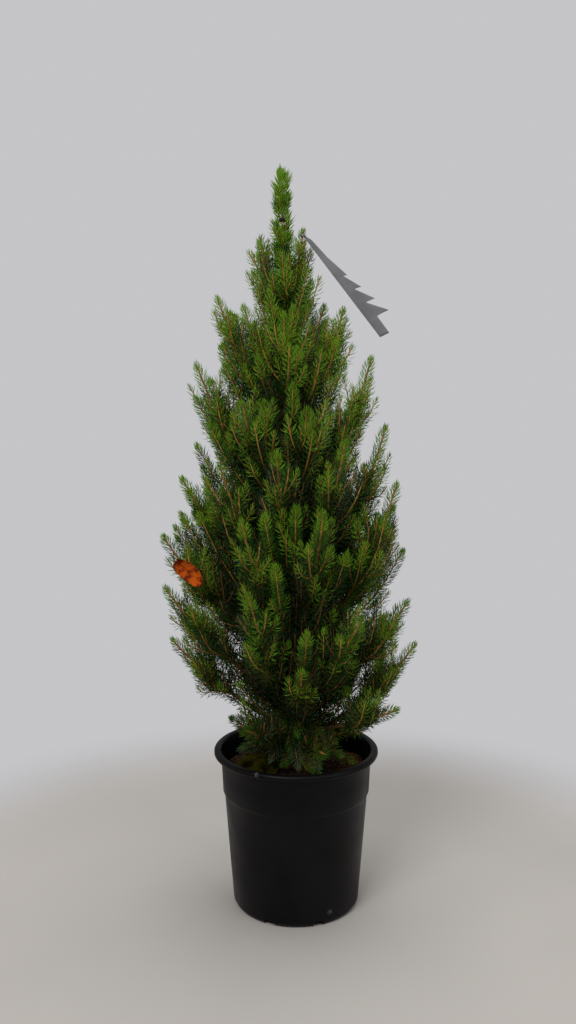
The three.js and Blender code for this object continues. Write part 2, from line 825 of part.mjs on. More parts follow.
const group = new THREE.Group();
group.add(makePot(), makeSoil(), makeMoss(), trunk);
group.add(...boughs.map(makeBough));
group.add(...plumes.map(makeMass), makeLeader());
group.add(makeTie(), makeTag(), makeDryLeaf());

export default group;
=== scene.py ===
"""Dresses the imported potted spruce: bark, needled shoots, pot, soil, moss, tag, band and dry leaf.

Sizes are in millimetres, as in the part's source, and every mesh is written in metres. The finishes' own
sizes, the lights and the camera are in metres. The crown grows by the same rule as the source's masses,
carried on to finer twigs and to single needles.
"""

from __future__ import annotations

import logging
import math
from dataclasses import dataclass, field
from enum import Enum, IntEnum
from functools import cache

import bpy
import numpy as np
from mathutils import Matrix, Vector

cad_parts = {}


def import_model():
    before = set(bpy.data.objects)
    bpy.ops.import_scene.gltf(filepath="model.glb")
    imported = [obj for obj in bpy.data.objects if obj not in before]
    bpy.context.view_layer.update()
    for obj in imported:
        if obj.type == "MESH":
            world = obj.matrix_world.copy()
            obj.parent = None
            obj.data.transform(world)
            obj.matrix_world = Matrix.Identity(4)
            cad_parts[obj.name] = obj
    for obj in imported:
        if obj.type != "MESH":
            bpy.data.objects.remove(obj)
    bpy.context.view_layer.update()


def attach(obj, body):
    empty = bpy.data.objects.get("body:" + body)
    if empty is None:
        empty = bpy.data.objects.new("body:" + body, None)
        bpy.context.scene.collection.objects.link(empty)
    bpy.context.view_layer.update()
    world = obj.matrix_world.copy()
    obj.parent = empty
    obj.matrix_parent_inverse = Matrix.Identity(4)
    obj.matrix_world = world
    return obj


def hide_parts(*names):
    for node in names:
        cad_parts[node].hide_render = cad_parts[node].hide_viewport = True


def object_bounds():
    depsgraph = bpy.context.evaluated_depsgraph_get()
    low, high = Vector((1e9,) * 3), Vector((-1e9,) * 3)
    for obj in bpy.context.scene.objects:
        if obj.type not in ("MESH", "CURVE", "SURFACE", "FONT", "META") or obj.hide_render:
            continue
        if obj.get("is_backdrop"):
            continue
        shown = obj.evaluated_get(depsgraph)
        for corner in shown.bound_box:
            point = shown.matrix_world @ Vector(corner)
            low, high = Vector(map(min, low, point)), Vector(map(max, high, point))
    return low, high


Array = np.ndarray
Pair = tuple[float, float]
Triple = tuple[float, float, float]
Four = tuple[float, float, float, float]
Colour = Triple

LOG = logging.getLogger("spruce")
MM = 0.001
GAP = 0.3
GOLDEN_SHARE = (math.sqrt(5) - 1) / 2
GOLDEN_ANGLE = math.pi * (3 - math.sqrt(5))
UP = np.array([0.0, 0.0, 1.0])
TINY = 1e-12
CHORDS = 64
STRAIGHT = 1e-3
FIXED_LINE = (0.9, 0.31, 0.17)
FRONT_DEGREES = 270
BODY = "root"
MOST_TRIANGLES = 190_000
SPINDLE_TRIANGLES = 6

# Sizes and places that several pieces share
SOIL_TOP = 205.0
POT_HEIGHT = 235.0
POT_NECK = 111.5
MOSS_PLACE = (-56.0, -20.0)
BAND_LEVEL = 1002.0

# The waves of repeatable chance; a call's own factors only pick which numbers come
WAVE_STEP = 12.9898
WAVE_HEIGHT = 43758.5453
COLUMN_STEP, ROW_STEP, SEED_STEP = 1.37, 7.13, 3.71


# Arithmetic on whole arrays


def mix(a: Array | float, b: Array | float, share: Array | float) -> Array | float:
    """The value a share of the way from a to b."""
    return a + (b - a) * share


def smooth(low: float, high: float, value: Array) -> Array:
    """A soft step from 0 at low to 1 at high: 3t^2 - 2t^3 of the clamped share t."""
    share = np.clip((value - low) / (high - low), 0, 1)
    return share * share * (3 - 2 * share)


def unit(vectors: Array) -> Array:
    """Each row divided by its length."""
    return vectors / np.maximum(np.linalg.norm(vectors, axis=-1, keepdims=True), TINY)


def jitter(seed: Array) -> Array:
    """A repeatable number between -1 and 1: twice the fraction of a large sine, less one."""
    wave = np.sin(np.asarray(seed) * WAVE_STEP) * WAVE_HEIGHT
    return 2 * (wave - np.floor(wave)) - 1


def lattice(column: Array, row: Array, seed: int) -> Array:
    """A repeatable number between 0 and 1 for each point of a square lattice."""
    return 0.5 + 0.5 * jitter(column * COLUMN_STEP + row * ROW_STEP + seed * SEED_STEP)


def noise(u: Array, v: Array, seed: int = 0, wrap: int = 0) -> Array:
    """Smooth noise between 0 and 1: lattice numbers blended by soft steps along both parameters.

    Args:
        u: first parameter, in cells.
        v: second parameter, in cells.
        seed: picks the pattern.
        wrap: number of cells after which u repeats, or 0.

    Returns:
        The noise at each pair of parameters.
    """
    column, row = np.floor(u), np.floor(v)
    right = column + 1
    a, b = smooth(0, 1, u - column), smooth(0, 1, v - row)
    if wrap:
        column, right = column % wrap, right % wrap
    low = mix(lattice(column, row, seed), lattice(right, row, seed), a)
    high = mix(lattice(column, row + 1, seed), lattice(right, row + 1, seed), a)
    return mix(low, high, b)


def layered(u: Array, v: Array, seed: int = 0, octaves: int = 4, wrap: int = 0) -> Array:
    """Noise at doubling scales, each half as strong as the last, summed and brought back to 0 to 1."""
    total = sum(noise(u * 2**k, v * 2**k, seed + k, wrap * 2**k) / 2**k for k in range(octaves))
    return total / (2 - 0.5 ** (octaves - 1))


def round_angles(count: int) -> Array:
    """Angles in equal steps once round: 2 pi k / n."""
    return 2 * np.pi * np.arange(count) / count


# Surfaces


@dataclass
class Surface:
    """A mesh in the making: points in millimetres and its four-sided and three-sided faces."""

    points: Array
    quads: Array = field(default_factory=lambda: np.zeros((0, 4), int))
    tris: Array = field(default_factory=lambda: np.zeros((0, 3), int))

    @staticmethod
    def joined(surfaces: list[Surface]) -> Surface:
        """Several surfaces as one: each one's faces count on from the points before it.

        Args:
            surfaces: the surfaces.

        Returns:
            The one surface.
        """
        starts = np.cumsum([0, *[len(s.points) for s in surfaces]])
        parts = [(s.points, s.quads + n, s.tris + n) for s, n in zip(surfaces, starts)]
        return Surface(*(np.concatenate(same) for same in zip(*parts)))

    def triangles(self) -> int:
        """How many triangles the faces come to."""
        return 2 * len(self.quads) + len(self.tris)

    def mesh(self, name: str, soft: bool) -> bpy.types.Mesh:
        """The surface as a Blender mesh in metres.

        Args:
            name: name of the mesh.
            soft: True to shade across the edges.

        Returns:
            The new mesh.
        """
        mesh = bpy.data.meshes.new(name)
        mesh.vertices.add(len(self.points))
        mesh.vertices.foreach_set("co", (self.points * MM).astype(np.float32).ravel())
        corners = np.concatenate([self.quads.ravel(), self.tris.ravel()]).astype(np.int32)
        counts = np.concatenate([np.full(len(self.quads), 4), np.full(len(self.tris), 3)])
        mesh.loops.add(len(corners))
        mesh.loops.foreach_set("vertex_index", corners)
        mesh.polygons.add(len(counts))
        starts = np.cumsum(counts) - counts
        mesh.polygons.foreach_set("loop_start", starts.astype(np.int32))
        mesh.update(calc_edges=True)
        mesh.validate()
        (mesh.shade_smooth if soft else mesh.shade_flat)()
        return mesh


def placed(name: str, data: bpy.types.ID) -> bpy.types.Object:
    """A new object in the scene.

    Args:
        name: its name.
        data: its mesh, light or camera.

    Returns:
        The object.
    """
    obj = bpy.data.objects.new(name, data)
    bpy.context.scene.collection.objects.link(obj)
    return obj


def piece(
    name: str, surface: Surface, finish: Finish, nodes: list[str], soft: bool = True
) -> bpy.types.Object:
    """Adds a finished piece to the scene, riding on the plant's one body.

    Args:
        name: plain name of the piece.
        surface: its shape.
        finish: what it is dressed in.
        nodes: the CAD nodes it stands for.
        soft: True to shade across edges.

    Returns:
        The new object.
    """
    obj = placed(name, surface.mesh(name, soft))
    obj.data.materials.append(finish.material())
    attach(obj, BODY)
    if nodes:
        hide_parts(*nodes)
    LOG.info("%s: %d triangles for %d nodes", name, surface.triangles(), len(nodes))
    return obj


def lattice_faces(rows: int, columns: int, closed: bool) -> Array:
    """Faces of a grid of points numbered row by row: a point, its neighbour and the two in the next row.

    Args:
        rows: number of rows of points.
        columns: number of points in a row.
        closed: True to join the last column to the first.

    Returns:
        Four point numbers for each face.
    """
    row, column = np.meshgrid(np.arange(rows - 1), np.arange(columns - (not closed)), indexing="ij")
    following = (column + 1) % columns
    corners = [row * columns + column, row * columns + following]
    corners += [(row + 1) * columns + following, (row + 1) * columns + column]
    return np.stack(corners, -1).reshape(-1, 4)


def tubes(rings: Array, start: Array, end: Array) -> Surface:
    """Closed tubes through rings of points, each with a point at either end.

    Args:
        rings: points as tube, ring, corner, place.
        start: one point for each tube, under its first ring.
        end: one point for each tube, beyond its last ring.

    Returns:
        All the tubes as one surface, faces outwards.
    """
    count, rows, sides = rings.shape[:3]
    size = rows * sides + 2
    points = np.concatenate([rings.reshape(count, -1, 3), start[:, None], end[:, None]], 1)
    corner = np.arange(sides)
    following = (corner + 1) % sides
    top = (rows - 1) * sides
    foot = np.stack([np.full(sides, rows * sides), following, corner], 1)
    head = np.stack([np.full(sides, rows * sides + 1), top + corner, top + following], 1)
    shift = (np.arange(count) * size)[:, None, None]
    quads = (lattice_faces(rows, sides, True)[None] + shift).reshape(-1, 4)
    tris = (np.concatenate([foot, head])[None] + shift).reshape(-1, 3)
    return Surface(points.reshape(-1, 3), quads, tris)


# Finishes


@dataclass
class Nodes:
    """A node tree in the making: adds nodes, sets their sockets and joins them."""

    tree: bpy.types.NodeTree

    def add(self, kind: str, inputs: dict | None = None, **settings: object) -> bpy.types.Node:
        """Adds a node.

        Args:
            kind: Blender's name of the node's type.
            inputs: a value, or a socket to join, for each named or numbered input.
            settings: properties of the node itself.

        Returns:
            The new node.
        """
        node = self.tree.nodes.new(kind)
        for key, value in settings.items():
            setattr(node, key, value)
        for key, value in (inputs or {}).items():
            if isinstance(value, bpy.types.NodeSocket):
                self.tree.links.new(value, node.inputs[key])
            else:
                node.inputs[key].default_value = value
        return node


def shared_group(
    name: str, inputs: dict[str, float], outputs: list[str]
) -> tuple[Nodes, bpy.types.Node, bpy.types.Node]:
    """An empty shader node group with named number inputs and outputs.

    Args:
        name: name of the group.
        inputs: each input's name and usual value.
        outputs: each output's name.

    Returns:
        The group's builder, its input node and its output node.
    """
    tree = bpy.data.node_groups.new(name, "ShaderNodeTree")
    new_socket = tree.interface.new_socket
    for label, value in inputs.items():
        new_socket(label, in_out="INPUT", socket_type="NodeSocketFloat").default_value = value
    for label in outputs:
        new_socket(label, in_out="OUTPUT", socket_type="NodeSocketFloat")
    nodes = Nodes(tree)
    return nodes, nodes.add("NodeGroupInput"), nodes.add("NodeGroupOutput")


@cache
def mottle_group() -> bpy.types.NodeTree:
    """Uneven cover: layered noise over the object's own coordinates, as a mask and a height.

    Returns:
        The shared group, made at the first call.
    """
    usual = {"Scale": 40.0, "Detail": 6.0, "Stretch": 1.0, "Low": 0.35, "High": 0.65}
    nodes, given, out = shared_group("Mottle", usual, ["Mask", "Height"])
    place = nodes.add("ShaderNodeTexCoord").outputs["Object"]
    across = nodes.add("ShaderNodeSeparateXYZ", {0: place})
    factors = {0: across.outputs["Z"], 1: given.outputs["Stretch"]}
    along = nodes.add("ShaderNodeMath", factors, operation="MULTIPLY")
    parts = {"X": across.outputs["X"], "Y": across.outputs["Y"], "Z": along.outputs[0]}
    drawn = nodes.add("ShaderNodeCombineXYZ", parts)
    settings = {label: given.outputs[label] for label in ("Scale", "Detail")}
    cloud = nodes.add("ShaderNodeTexNoise", {"Vector": drawn.outputs[0], **settings})
    limits = {"Value": cloud.outputs[0], "From Min": given.outputs["Low"], "From Max": given.outputs["High"]}
    mask = nodes.add("ShaderNodeMapRange", limits, interpolation_type="SMOOTHSTEP")
    nodes.tree.links.new(mask.outputs[0], out.inputs["Mask"])
    nodes.tree.links.new(cloud.outputs[0], out.inputs["Height"])
    return nodes.tree


@dataclass(frozen=True)
class Finish:
    """A mottled finish: two colours and a roughness by one cover of noise, and relief by a finer one."""

    name: str
    dark: Colour
    light: Colour
    rough: Pair = (0.6, 0.8)
    scale: float = 60.0
    stretch: float = 1.0
    spread: Pair = (0.35, 0.65)
    detail: float = 6.0
    bump: float = 0.2
    bump_scale: float = 300.0
    bump_spread: Pair = (0.3, 0.7)
    bump_depth: float = 0.0004
    gloss: float = 0.5

    def mottle(self, nodes: Nodes, scale: float, low: float, high: float) -> bpy.types.Node:
        """The shared cover at this fineness: its mask starts where the noise is low and is full at high."""
        values = {"Scale": scale, "Detail": self.detail, "Stretch": self.stretch, "Low": low, "High": high}
        return nodes.add("ShaderNodeGroup", values, node_tree=mottle_group())

    def colour(self, nodes: Nodes, mask: bpy.types.NodeSocket) -> bpy.types.NodeSocket:
        """The base colour: a ramp from dark to light.

        Args:
            nodes: the material's nodes.
            mask: the cover's mask.

        Returns:
            The colour's socket.
        """
        ramp = nodes.add("ShaderNodeValToRGB", {"Fac": mask})
        for element, shade in zip(ramp.color_ramp.elements, (self.dark, self.light)):
            element.color = (*shade, 1)
        return ramp.outputs["Color"]

    def material(self) -> bpy.types.Material:
        """The finish as a material.

        Returns:
            The material, made at the first call.
        """
        if self.name in bpy.data.materials:
            return bpy.data.materials[self.name]
        material = bpy.data.materials.new(self.name)
        material.use_nodes = True
        nodes = Nodes(material.node_tree)
        shader = material.node_tree.nodes["Principled BSDF"]
        cover = self.mottle(nodes, self.scale, *self.spread)
        fine = self.mottle(nodes, self.bump_scale, *self.bump_spread)
        link = material.node_tree.links.new
        link(self.colour(nodes, cover.outputs["Mask"]), shader.inputs["Base Color"])
        limits = {"Value": cover.outputs["Mask"], "To Min": self.rough[0], "To Max": self.rough[1]}
        rough = nodes.add("ShaderNodeMapRange", limits)
        link(rough.outputs[0], shader.inputs["Roughness"])
        relief = {"Strength": self.bump, "Distance": self.bump_depth, "Height": fine.outputs["Height"]}
        link(nodes.add("ShaderNodeBump", relief).outputs[0], shader.inputs["Normal"])
        shader.inputs["Specular IOR Level"].default_value = self.gloss
        return material


@cache
def scuff_group() -> bpy.types.NodeTree:
    """Scratches near one place: streaky noise kept where the distance to the place is under a size.

    Returns:
        The shared group, made at the first call.
    """
    usual = {"X": 0.0, "Y": 0.0, "Z": 0.0, "Size": 0.01}
    nodes, given, out = shared_group("Scuffs", usual, ["Mask"])
    here = nodes.add("ShaderNodeTexCoord").outputs["Object"]
    there = nodes.add("ShaderNodeCombineXYZ", {axis: given.outputs[axis] for axis in "XYZ"})
    ends = {0: here, 1: there.outputs[0]}
    away = nodes.add("ShaderNodeVectorMath", ends, operation="DISTANCE").outputs["Value"]
    limits = {"Value": away, "From Min": given.outputs["Size"], "From Max": 0.0}
    near = nodes.add("ShaderNodeMapRange", limits, interpolation_type="SMOOTHSTEP")
    values = {"Scale": 420.0, "Detail": 4.0, "Stretch": 3.0, "Low": 0.5, "High": 0.62}
    streaks = nodes.add("ShaderNodeGroup", values, node_tree=mottle_group())
    both = {0: near.outputs[0], 1: streaks.outputs["Mask"]}
    mask = nodes.add("ShaderNodeMath", both, operation="MULTIPLY", use_clamp=True)
    nodes.tree.links.new(mask.outputs[0], out.inputs["Mask"])
    return nodes.tree


@dataclass(frozen=True)
class ScuffedFinish(Finish):
    """A mottled finish with pale scuffs at a few places, each given by its point and size in metres."""

    pale: Colour = (0.2, 0.19, 0.2)
    scuffs: tuple[Four, ...] = (
        (-0.0555, -0.107, 0.2325, 0.0055), (0.048, -0.082, 0.0195, 0.0065), (0.09, 0.05, 0.15, 0.009),
        (-0.08, 0.06, 0.06, 0.008),
    )

    def colour(self, nodes: Nodes, mask: bpy.types.NodeSocket) -> bpy.types.NodeSocket:
        """The base colour, turned pale where a scuff lies: the places' masks laid one over the other.

        Args:
            nodes: the material's nodes.
            mask: the cover's mask.

        Returns:
            The colour's socket.
        """
        shown = super().colour(nodes, mask)
        for place in self.scuffs:
            where = dict(zip(("X", "Y", "Z", "Size"), place))
            scuff = nodes.add("ShaderNodeGroup", where, node_tree=scuff_group()).outputs["Mask"]
            mixed = nodes.add("ShaderNodeMix", {0: scuff, 6: shown, 7: (*self.pale, 1)}, data_type="RGBA")
            shown = mixed.outputs[2]
        return shown


def needle_finish(name: str, dark: Colour, light: Colour) -> Finish:
    """A finish for needles: waxy, barely mottled, with a fine soft relief."""
    look = {"rough": (0.55, 0.75), "scale": 22, "spread": (0.3, 0.7)}
    return Finish(name, dark, light, bump=0.1, bump_scale=900, gloss=0.16, **look)


class Tone(Enum):
    """The colours of the needles, dealt out by spray; the deepest one is painted shade for the crown's
    inside.
    """

    TIP = needle_finish("needle_tip", (0.07, 0.18, 0.007), (0.14, 0.28, 0.011))
    FRESH = needle_finish("needle_fresh", (0.02, 0.074, 0.004), (0.04, 0.11, 0.006))
    MID = needle_finish("needle_mid", (0.008, 0.034, 0.003), (0.018, 0.055, 0.005))
    # painted shade: a near-black green for the needles deep in the crown, where shade falls
    PAINTED_SHADE = needle_finish("needle_painted_shade", (0.003, 0.012, 0.002), (0.007, 0.022, 0.003))
    GREY = needle_finish("needle_grey", (0.02, 0.05, 0.02), (0.045, 0.08, 0.032))
    OLIVE = needle_finish("needle_olive", (0.024, 0.044, 0.003), (0.055, 0.075, 0.006))


BARK = Finish(
    "weathered_bark", (0.012, 0.006, 0.003), (0.085, 0.042, 0.018), rough=(0.8, 0.95), scale=130,
    stretch=0.35, bump=0.7, bump_scale=420, gloss=0.2,
)
STEM = Finish(
    "stem_bark", (0.04, 0.017, 0.005), (0.15, 0.066, 0.018), rough=(0.6, 0.85), scale=160, stretch=0.5,
    bump=0.4, bump_scale=700, gloss=0.2,
)
TWIG = Finish(
    "young_twig", (0.19, 0.092, 0.017), (0.38, 0.2, 0.042), rough=(0.5, 0.75), scale=180, stretch=0.6,
    bump=0.3, bump_scale=800, gloss=0.2,
)
BUD = Finish(
    "bud", (0.12, 0.07, 0.016), (0.24, 0.15, 0.035), rough=(0.45, 0.65), scale=300, bump_scale=900, gloss=0.2
)
PLASTIC = ScuffedFinish(
    "pot_plastic", (0.0018, 0.0015, 0.002), (0.0042, 0.0036, 0.0046), rough=(0.36, 0.52), scale=14,
    bump=0.12, bump_scale=900, gloss=0.12,
)
EARTH = Finish(
    "potting_soil", (0.004, 0.0025, 0.0018), (0.028, 0.016, 0.01), rough=(0.85, 1.0), scale=90, bump=0.9,
    bump_scale=500, bump_depth=0.001, gloss=0.1,
)
CRUMB = Finish(
    "soil_crumbs", (0.008, 0.005, 0.003), (0.065, 0.036, 0.02), rough=(0.8, 1.0), bump=0.6,
    bump_scale=700, gloss=0.1,
)
MOSSY = Finish(
    "moss_green", (0.006, 0.0065, 0.0008), (0.066, 0.058, 0.004), rough=(0.85, 1.0), bump=0.5,
    bump_scale=800, gloss=0.04,
)
RUBBER = Finish(
    "band_rubber", (0.006, 0.006, 0.007), (0.016, 0.016, 0.018), rough=(0.5, 0.7), scale=200, bump=0.3,
    bump_scale=900, gloss=0.2,
)
CARD = Finish(
    "tag_plastic", (0.11, 0.112, 0.12), (0.14, 0.143, 0.152), rough=(0.4, 0.52), scale=30, bump=0.06,
    bump_scale=900,
)
LITTER = Finish(
    "fallen_needle", (0.06, 0.025, 0.006), (0.2, 0.085, 0.018), rough=(0.6, 0.9), scale=80,
    bump_scale=900, gloss=0.2,
)
LEAF = Finish(
    "dead_leaf", (0.12, 0.011, 0.001), (0.42, 0.075, 0.003), rough=(0.65, 0.85), scale=95,
    spread=(0.4, 0.6), bump=0.5, bump_scale=600, gloss=0.1,
)


# The trunk and the crown's frame, by the source's rule


@dataclass(frozen=True)
class TrunkLine:
    """The trunk's line and thickness, from its cut foot on the soil to the leader's tip."""

    foot: float = SOIL_TOP + GAP
    tip: float = 930.0
    top: float = 1064.0
    foot_radius: float = 13.5
    tip_radius: float = 2.6
    taper: float = 0.85
    flare: float = 8.0
    flare_height: float = 18.0
    flare_lobes: int = 5
    lean: float = -21.0
    bow: float = 0.45
    sway: float = 2.2
    sway_turns: float = 9.0

    def centre(self, height: Array) -> Array:
        """The trunk's middle: leaning left by a share of its height, with a slight bow and sway.

        Args:
            height: the heights.

        Returns:
            One point for each height.
        """
        height = np.asarray(height, float)
        share = (height - self.foot) / (self.top - self.foot)
        x = self.lean * share * (1 + self.bow * (1 - share))
        return np.stack([x, self.sway * np.sin(share * self.sway_turns), height], -1)

    def radius(self, height: Array) -> Array:
        """The trunk's radius: foot to tip by the height's share raised to the taper."""
        share = (np.asarray(height, float) - self.foot) / (self.tip - self.foot)
        return mix(self.foot_radius, self.tip_radius, np.maximum(share, 0) ** self.taper)

    def spread(self, height: Array, angle: Array) -> Array:
        """How far the root lobes stand out: they fade with height and swell at each lobe's angle."""
        fade = self.flare * np.exp((self.foot - height) / self.flare_height)
        return fade * (0.5 + 0.5 * np.cos(self.flare_lobes * angle))


@dataclass(frozen=True)
class Tier:
    """One tier of plumes: its height on the trunk, how its plumes bend, and each plume's row.

    A row is the plume's compass angle in degrees, its reach from the trunk and the height of its tip.
    """

    name: str
    joint: float
    bend: Pair
    shoots: int
    length: float
    rows: tuple[Triple, ...]


TIERS = (
    Tier("top", 884, (0.62, 0.4), 3, 62, ((180, 36, 984), (317, 42, 994), (82, 44, 958))),
    Tier("upper", 722, (0.64, 0.36), 5, 90, ((183, 98, 905), (0, 88, 890), (270, 50, 878), (92, 84, 872))),
    Tier("shoulder", 588, (0.64, 0.36), 6, 98, (
        (177, 132, 812), (354, 127, 820), (230, 98, 756), (288, 96, 748), (85, 124, 785),
    )),
    Tier("middle", 466, (0.64, 0.36), 6, 100, (
        (183, 158, 648), (222, 128, 672), (263, 118, 690), (312, 122, 704), (3, 148, 723), (55, 146, 690),
        (128, 148, 694),
    )),
    Tier("waist", 372, (0.64, 0.36), 5, 102, (
        (189, 188, 566), (243, 142, 600), (290, 140, 612), (340, 166, 644), (32, 172, 556), (92, 162, 592),
    )),
    Tier("lower", 304, (0.62, 0.36), 5, 98, (
        (194, 190, 494), (246, 144, 500), (310, 156, 466), (356, 178, 468), (68, 170, 456), (142, 174, 506),
    )),
    Tier("skirt", 260, (0.6, 0.36), 5, 84, (
        (182, 184, 408), (236, 132, 300), (276, 122, 392), (336, 172, 318), (0, 190, 400), (48, 168, 330),
        (118, 166, 344),
    )),
    Tier("foot", 240, (0.6, 0.6), 4, 60, ((298, 106, 252),)),
)


@dataclass(frozen=True)
class LimbRule:
    """How boughs and stems taper, how deep they are rooted, and which plumes a bough carries."""

    root_share: float = 0.5
    seat: float = 0.75
    thickest: float = 5.0
    thinnest: float = 2.2
    tip_radius: float = 1.2
    taper: float = 0.8
    bough_share: float = 0.34
    samples: int = 12
    main_reach: float = 160.0
    stagger: float = 40.0
    bare_share: float = 0.24
    tip: float = 15.0


@dataclass(frozen=True)
class ShootRule:
    """How side shoots stand on a stem: the source's own ones, and finer ones between them."""

    fan: float = 240.0
    fan_shift: float = 0.3
    first: float = 0.12
    last: float = 0.7
    lowest: float = 1.08
    highest: float = 0.52
    uneven: float = 0.14
    shortest: float = 24.0
    shortening: float = 0.86
    tries: int = 8
    probes: int = 6
    probes_from: float = 0.3
    side_rise: float = 0.2
    spread: float = 0.86
    knee: float = 0.5
    run: float = 0.78
    rise: float = 0.52
    upward: Pair = (1.12, 0.12)
    finer: int = 3
    finer_last: float = 0.66
    finer_spread: float = 0.56
    finer_top: float = 0.84
    finer_least: float = 0.76
    slim: float = 60.0
    bare: float = 0.04
    radii: Pair = (1.4, 0.9)
    full_length: float = 70.0
    thicker: Pair = (0.8, 1.3)


@dataclass(frozen=True)
class InnerRule:
    """The weaker shoots that fill the crown near the trunk."""

    count: int = 360
    lowest: float = 268.0
    highest: float = 890.0
    crowding: float = 1.6
    longest: float = 136.0
    shortest: float = 66.0
    uneven: float = 0.25
    rise: float = 0.45
    upward: float = 1.05
    middle: float = 0.4
    crossing: float = 60.0
    open_from: float = 640.0
    open_half: float = 42.0
    bare: float = 0.1
    radii: Pair = (1.3, 0.75)


@dataclass(frozen=True)
class FootRule:
    """The low shoots that droop over the soil."""

    count: int = 72
    first_angle: float = 0.3
    levels: Pair = (224.0, 288.0)
    reach: Pair = (42.0, 88.0)
    fall: float = 18.0
    uneven: Pair = (0.7, 0.5)
    aside: float = 14.0
    knee: Pair = (0.55, 7.0)
    over_soil: float = 18.0
    probes: Four = (0.4, 0.6, 0.8, 1.0)
    bare: float = 0.12
    radii: Pair = (1.4, 0.8)


@dataclass(frozen=True)
class SpireRule:
    """The slim spires that stand between the plumes where the crown shows them.

    A row is the spire's compass angle in degrees, its reach, the height of its tip and that of its joint.
    """

    bend: Pair = (0.66, 0.34)
    radii: Pair = (1.6, 0.9)
    bare: float = 0.2
    middle: float = 0.7
    rows: tuple[Four, ...] = (
        (184, 46, 941, 852), (206, 66, 891, 768), (239, 42, 911, 812), (13, 44, 930, 846),
        (5, 62, 895, 784), (288, 44, 888, 790), (289, 56, 831, 702), (193, 91, 810, 668),
        (350, 90, 812, 676), (245, 74, 758, 634), (280, 64, 782, 652), (181, 134, 764, 596),
        (199, 118, 725, 566), (203, 128, 634, 476), (340, 119, 600, 448), (275, 122, 617, 452),
        (254, 122, 606, 438), (187, 158, 590, 412), (356, 156, 566, 392), (1, 172, 542, 362),
        (309, 128, 550, 388), (261, 132, 540, 362), (280, 126, 446, 300), (242, 122, 442, 300),
        (90, 60, 880, 760), (70, 92, 770, 640), (110, 96, 724, 590), (88, 128, 612, 440),
        (126, 128, 560, 386), (46, 132, 540, 380), (94, 130, 440, 304), (186, 112, 790, 640),
        (176, 96, 838, 690), (183, 150, 630, 470), (178, 170, 560, 390), (352, 148, 598, 440),
        (186, 106, 392, 270), (205, 94, 352, 262), (172, 126, 424, 300), (352, 102, 384, 270),
        (337, 94, 342, 262), (8, 120, 424, 300), (176, 140, 612, 400), (196, 136, 600, 396),
        (4, 134, 596, 400), (184, 134, 696, 530), (177, 128, 664, 500), (180, 162, 596, 430),
        (186, 170, 578, 408), (357, 158, 606, 440), (192, 104, 292, 246), (346, 122, 286, 244),
    )


class Order(IntEnum):
    """What a shoot is, and so how it is dressed."""

    STEM = 0
    SIDE = 1
    SECOND = 2
    LEADER = 3
    FOOT = 4
    SPIRE = 5
    TUFT = 6


BEARERS = (Order.STEM, Order.SPIRE)


@dataclass(frozen=True)
class ShortRule:
    """How short shoots stand on what bears them.

    The share says where the first and the last stand, and the size how long they are beside their bearer.
    """

    count: int
    share: Pair
    size: Pair
    order: Order = Order.SECOND
    shuffle: float = 0.12
    twist: float = 2.4
    uneven: float = 0.2
    shortest: float = 12.0
    radii: Pair = (0.95, 0.65)


@dataclass(frozen=True)
class Room:
    """The room kept free round the plant's other pieces.

    The slab is the tag's, along and across it. The band's ring is half a height and a radius, and the
    window before it half a width and half a height.
    """

    rim: float = 5.0
    over_rim: float = 2.0
    over_soil: float = 1.5
    moss_radius: float = 32.0
    moss_height: float = 20.0
    band: Pair = (4.5, 7.0)
    band_front: Pair = (5.5, 5.5)
    slab: Four = (-3.0, 184.0, -2.0, 38.0)
    before_slab: float = 90.0
    behind_slab: float = 1.6


def curve(controls: Array, share: Array) -> Array:
    """Points at t on quadratic curves through a, b and c: s^2 a + 2 s t b + t^2 c, with s = 1 - t."""
    s, t = 1 - np.asarray(share)[..., None], np.asarray(share)[..., None]
    return s * s * controls[..., 0, :] + 2 * s * t * controls[..., 1, :] + t * t * controls[..., 2, :]


def curve_heading(controls: Array, share: Array) -> Array:
    """Directions at t along quadratic curves, made one long: s (b - a) + t (c - b), with s = 1 - t."""
    t, sides = np.asarray(share)[..., None], np.diff(controls, axis=-2)
    return unit((1 - t) * sides[..., 0, :] + t * sides[..., 1, :])


def even_share(controls: Array, share: Array) -> Array:
    """The curve's own parameter at shares of its length, read off its running length in short chords.

    Args:
        controls: the curve's three points.
        share: shares of the length.

    Returns:
        The parameter at each share.
    """
    t = np.linspace(0, 1, CHORDS + 1)
    points = curve(controls, t)
    run = np.concatenate([[0], np.cumsum(np.linalg.norm(np.diff(points, axis=0), axis=1))])
    return np.interp(np.asarray(share) * run[-1], run, t)


@dataclass(frozen=True)
class Plume:
    """One plume: the curved stem from the trunk to the tip, and what it belongs to."""

    tier: Tier
    number: int
    angle: float
    reach: float
    carried: bool
    root_radius: float
    controls: Array

    def at(self, share: Array) -> Array:
        """Points at shares of the stem's length."""
        return curve(self.controls, even_share(self.controls, share))

    def heading(self, share: Array) -> Array:
        """Directions at shares of the stem's length."""
        return curve_heading(self.controls, even_share(self.controls, share))

    def radius(self, share: Array, rule: LimbRule) -> Array:
        """The stem's radius, from its root to its tip by the share raised to the taper."""
        return mix(self.root_radius, rule.tip_radius, np.asarray(share) ** rule.taper)


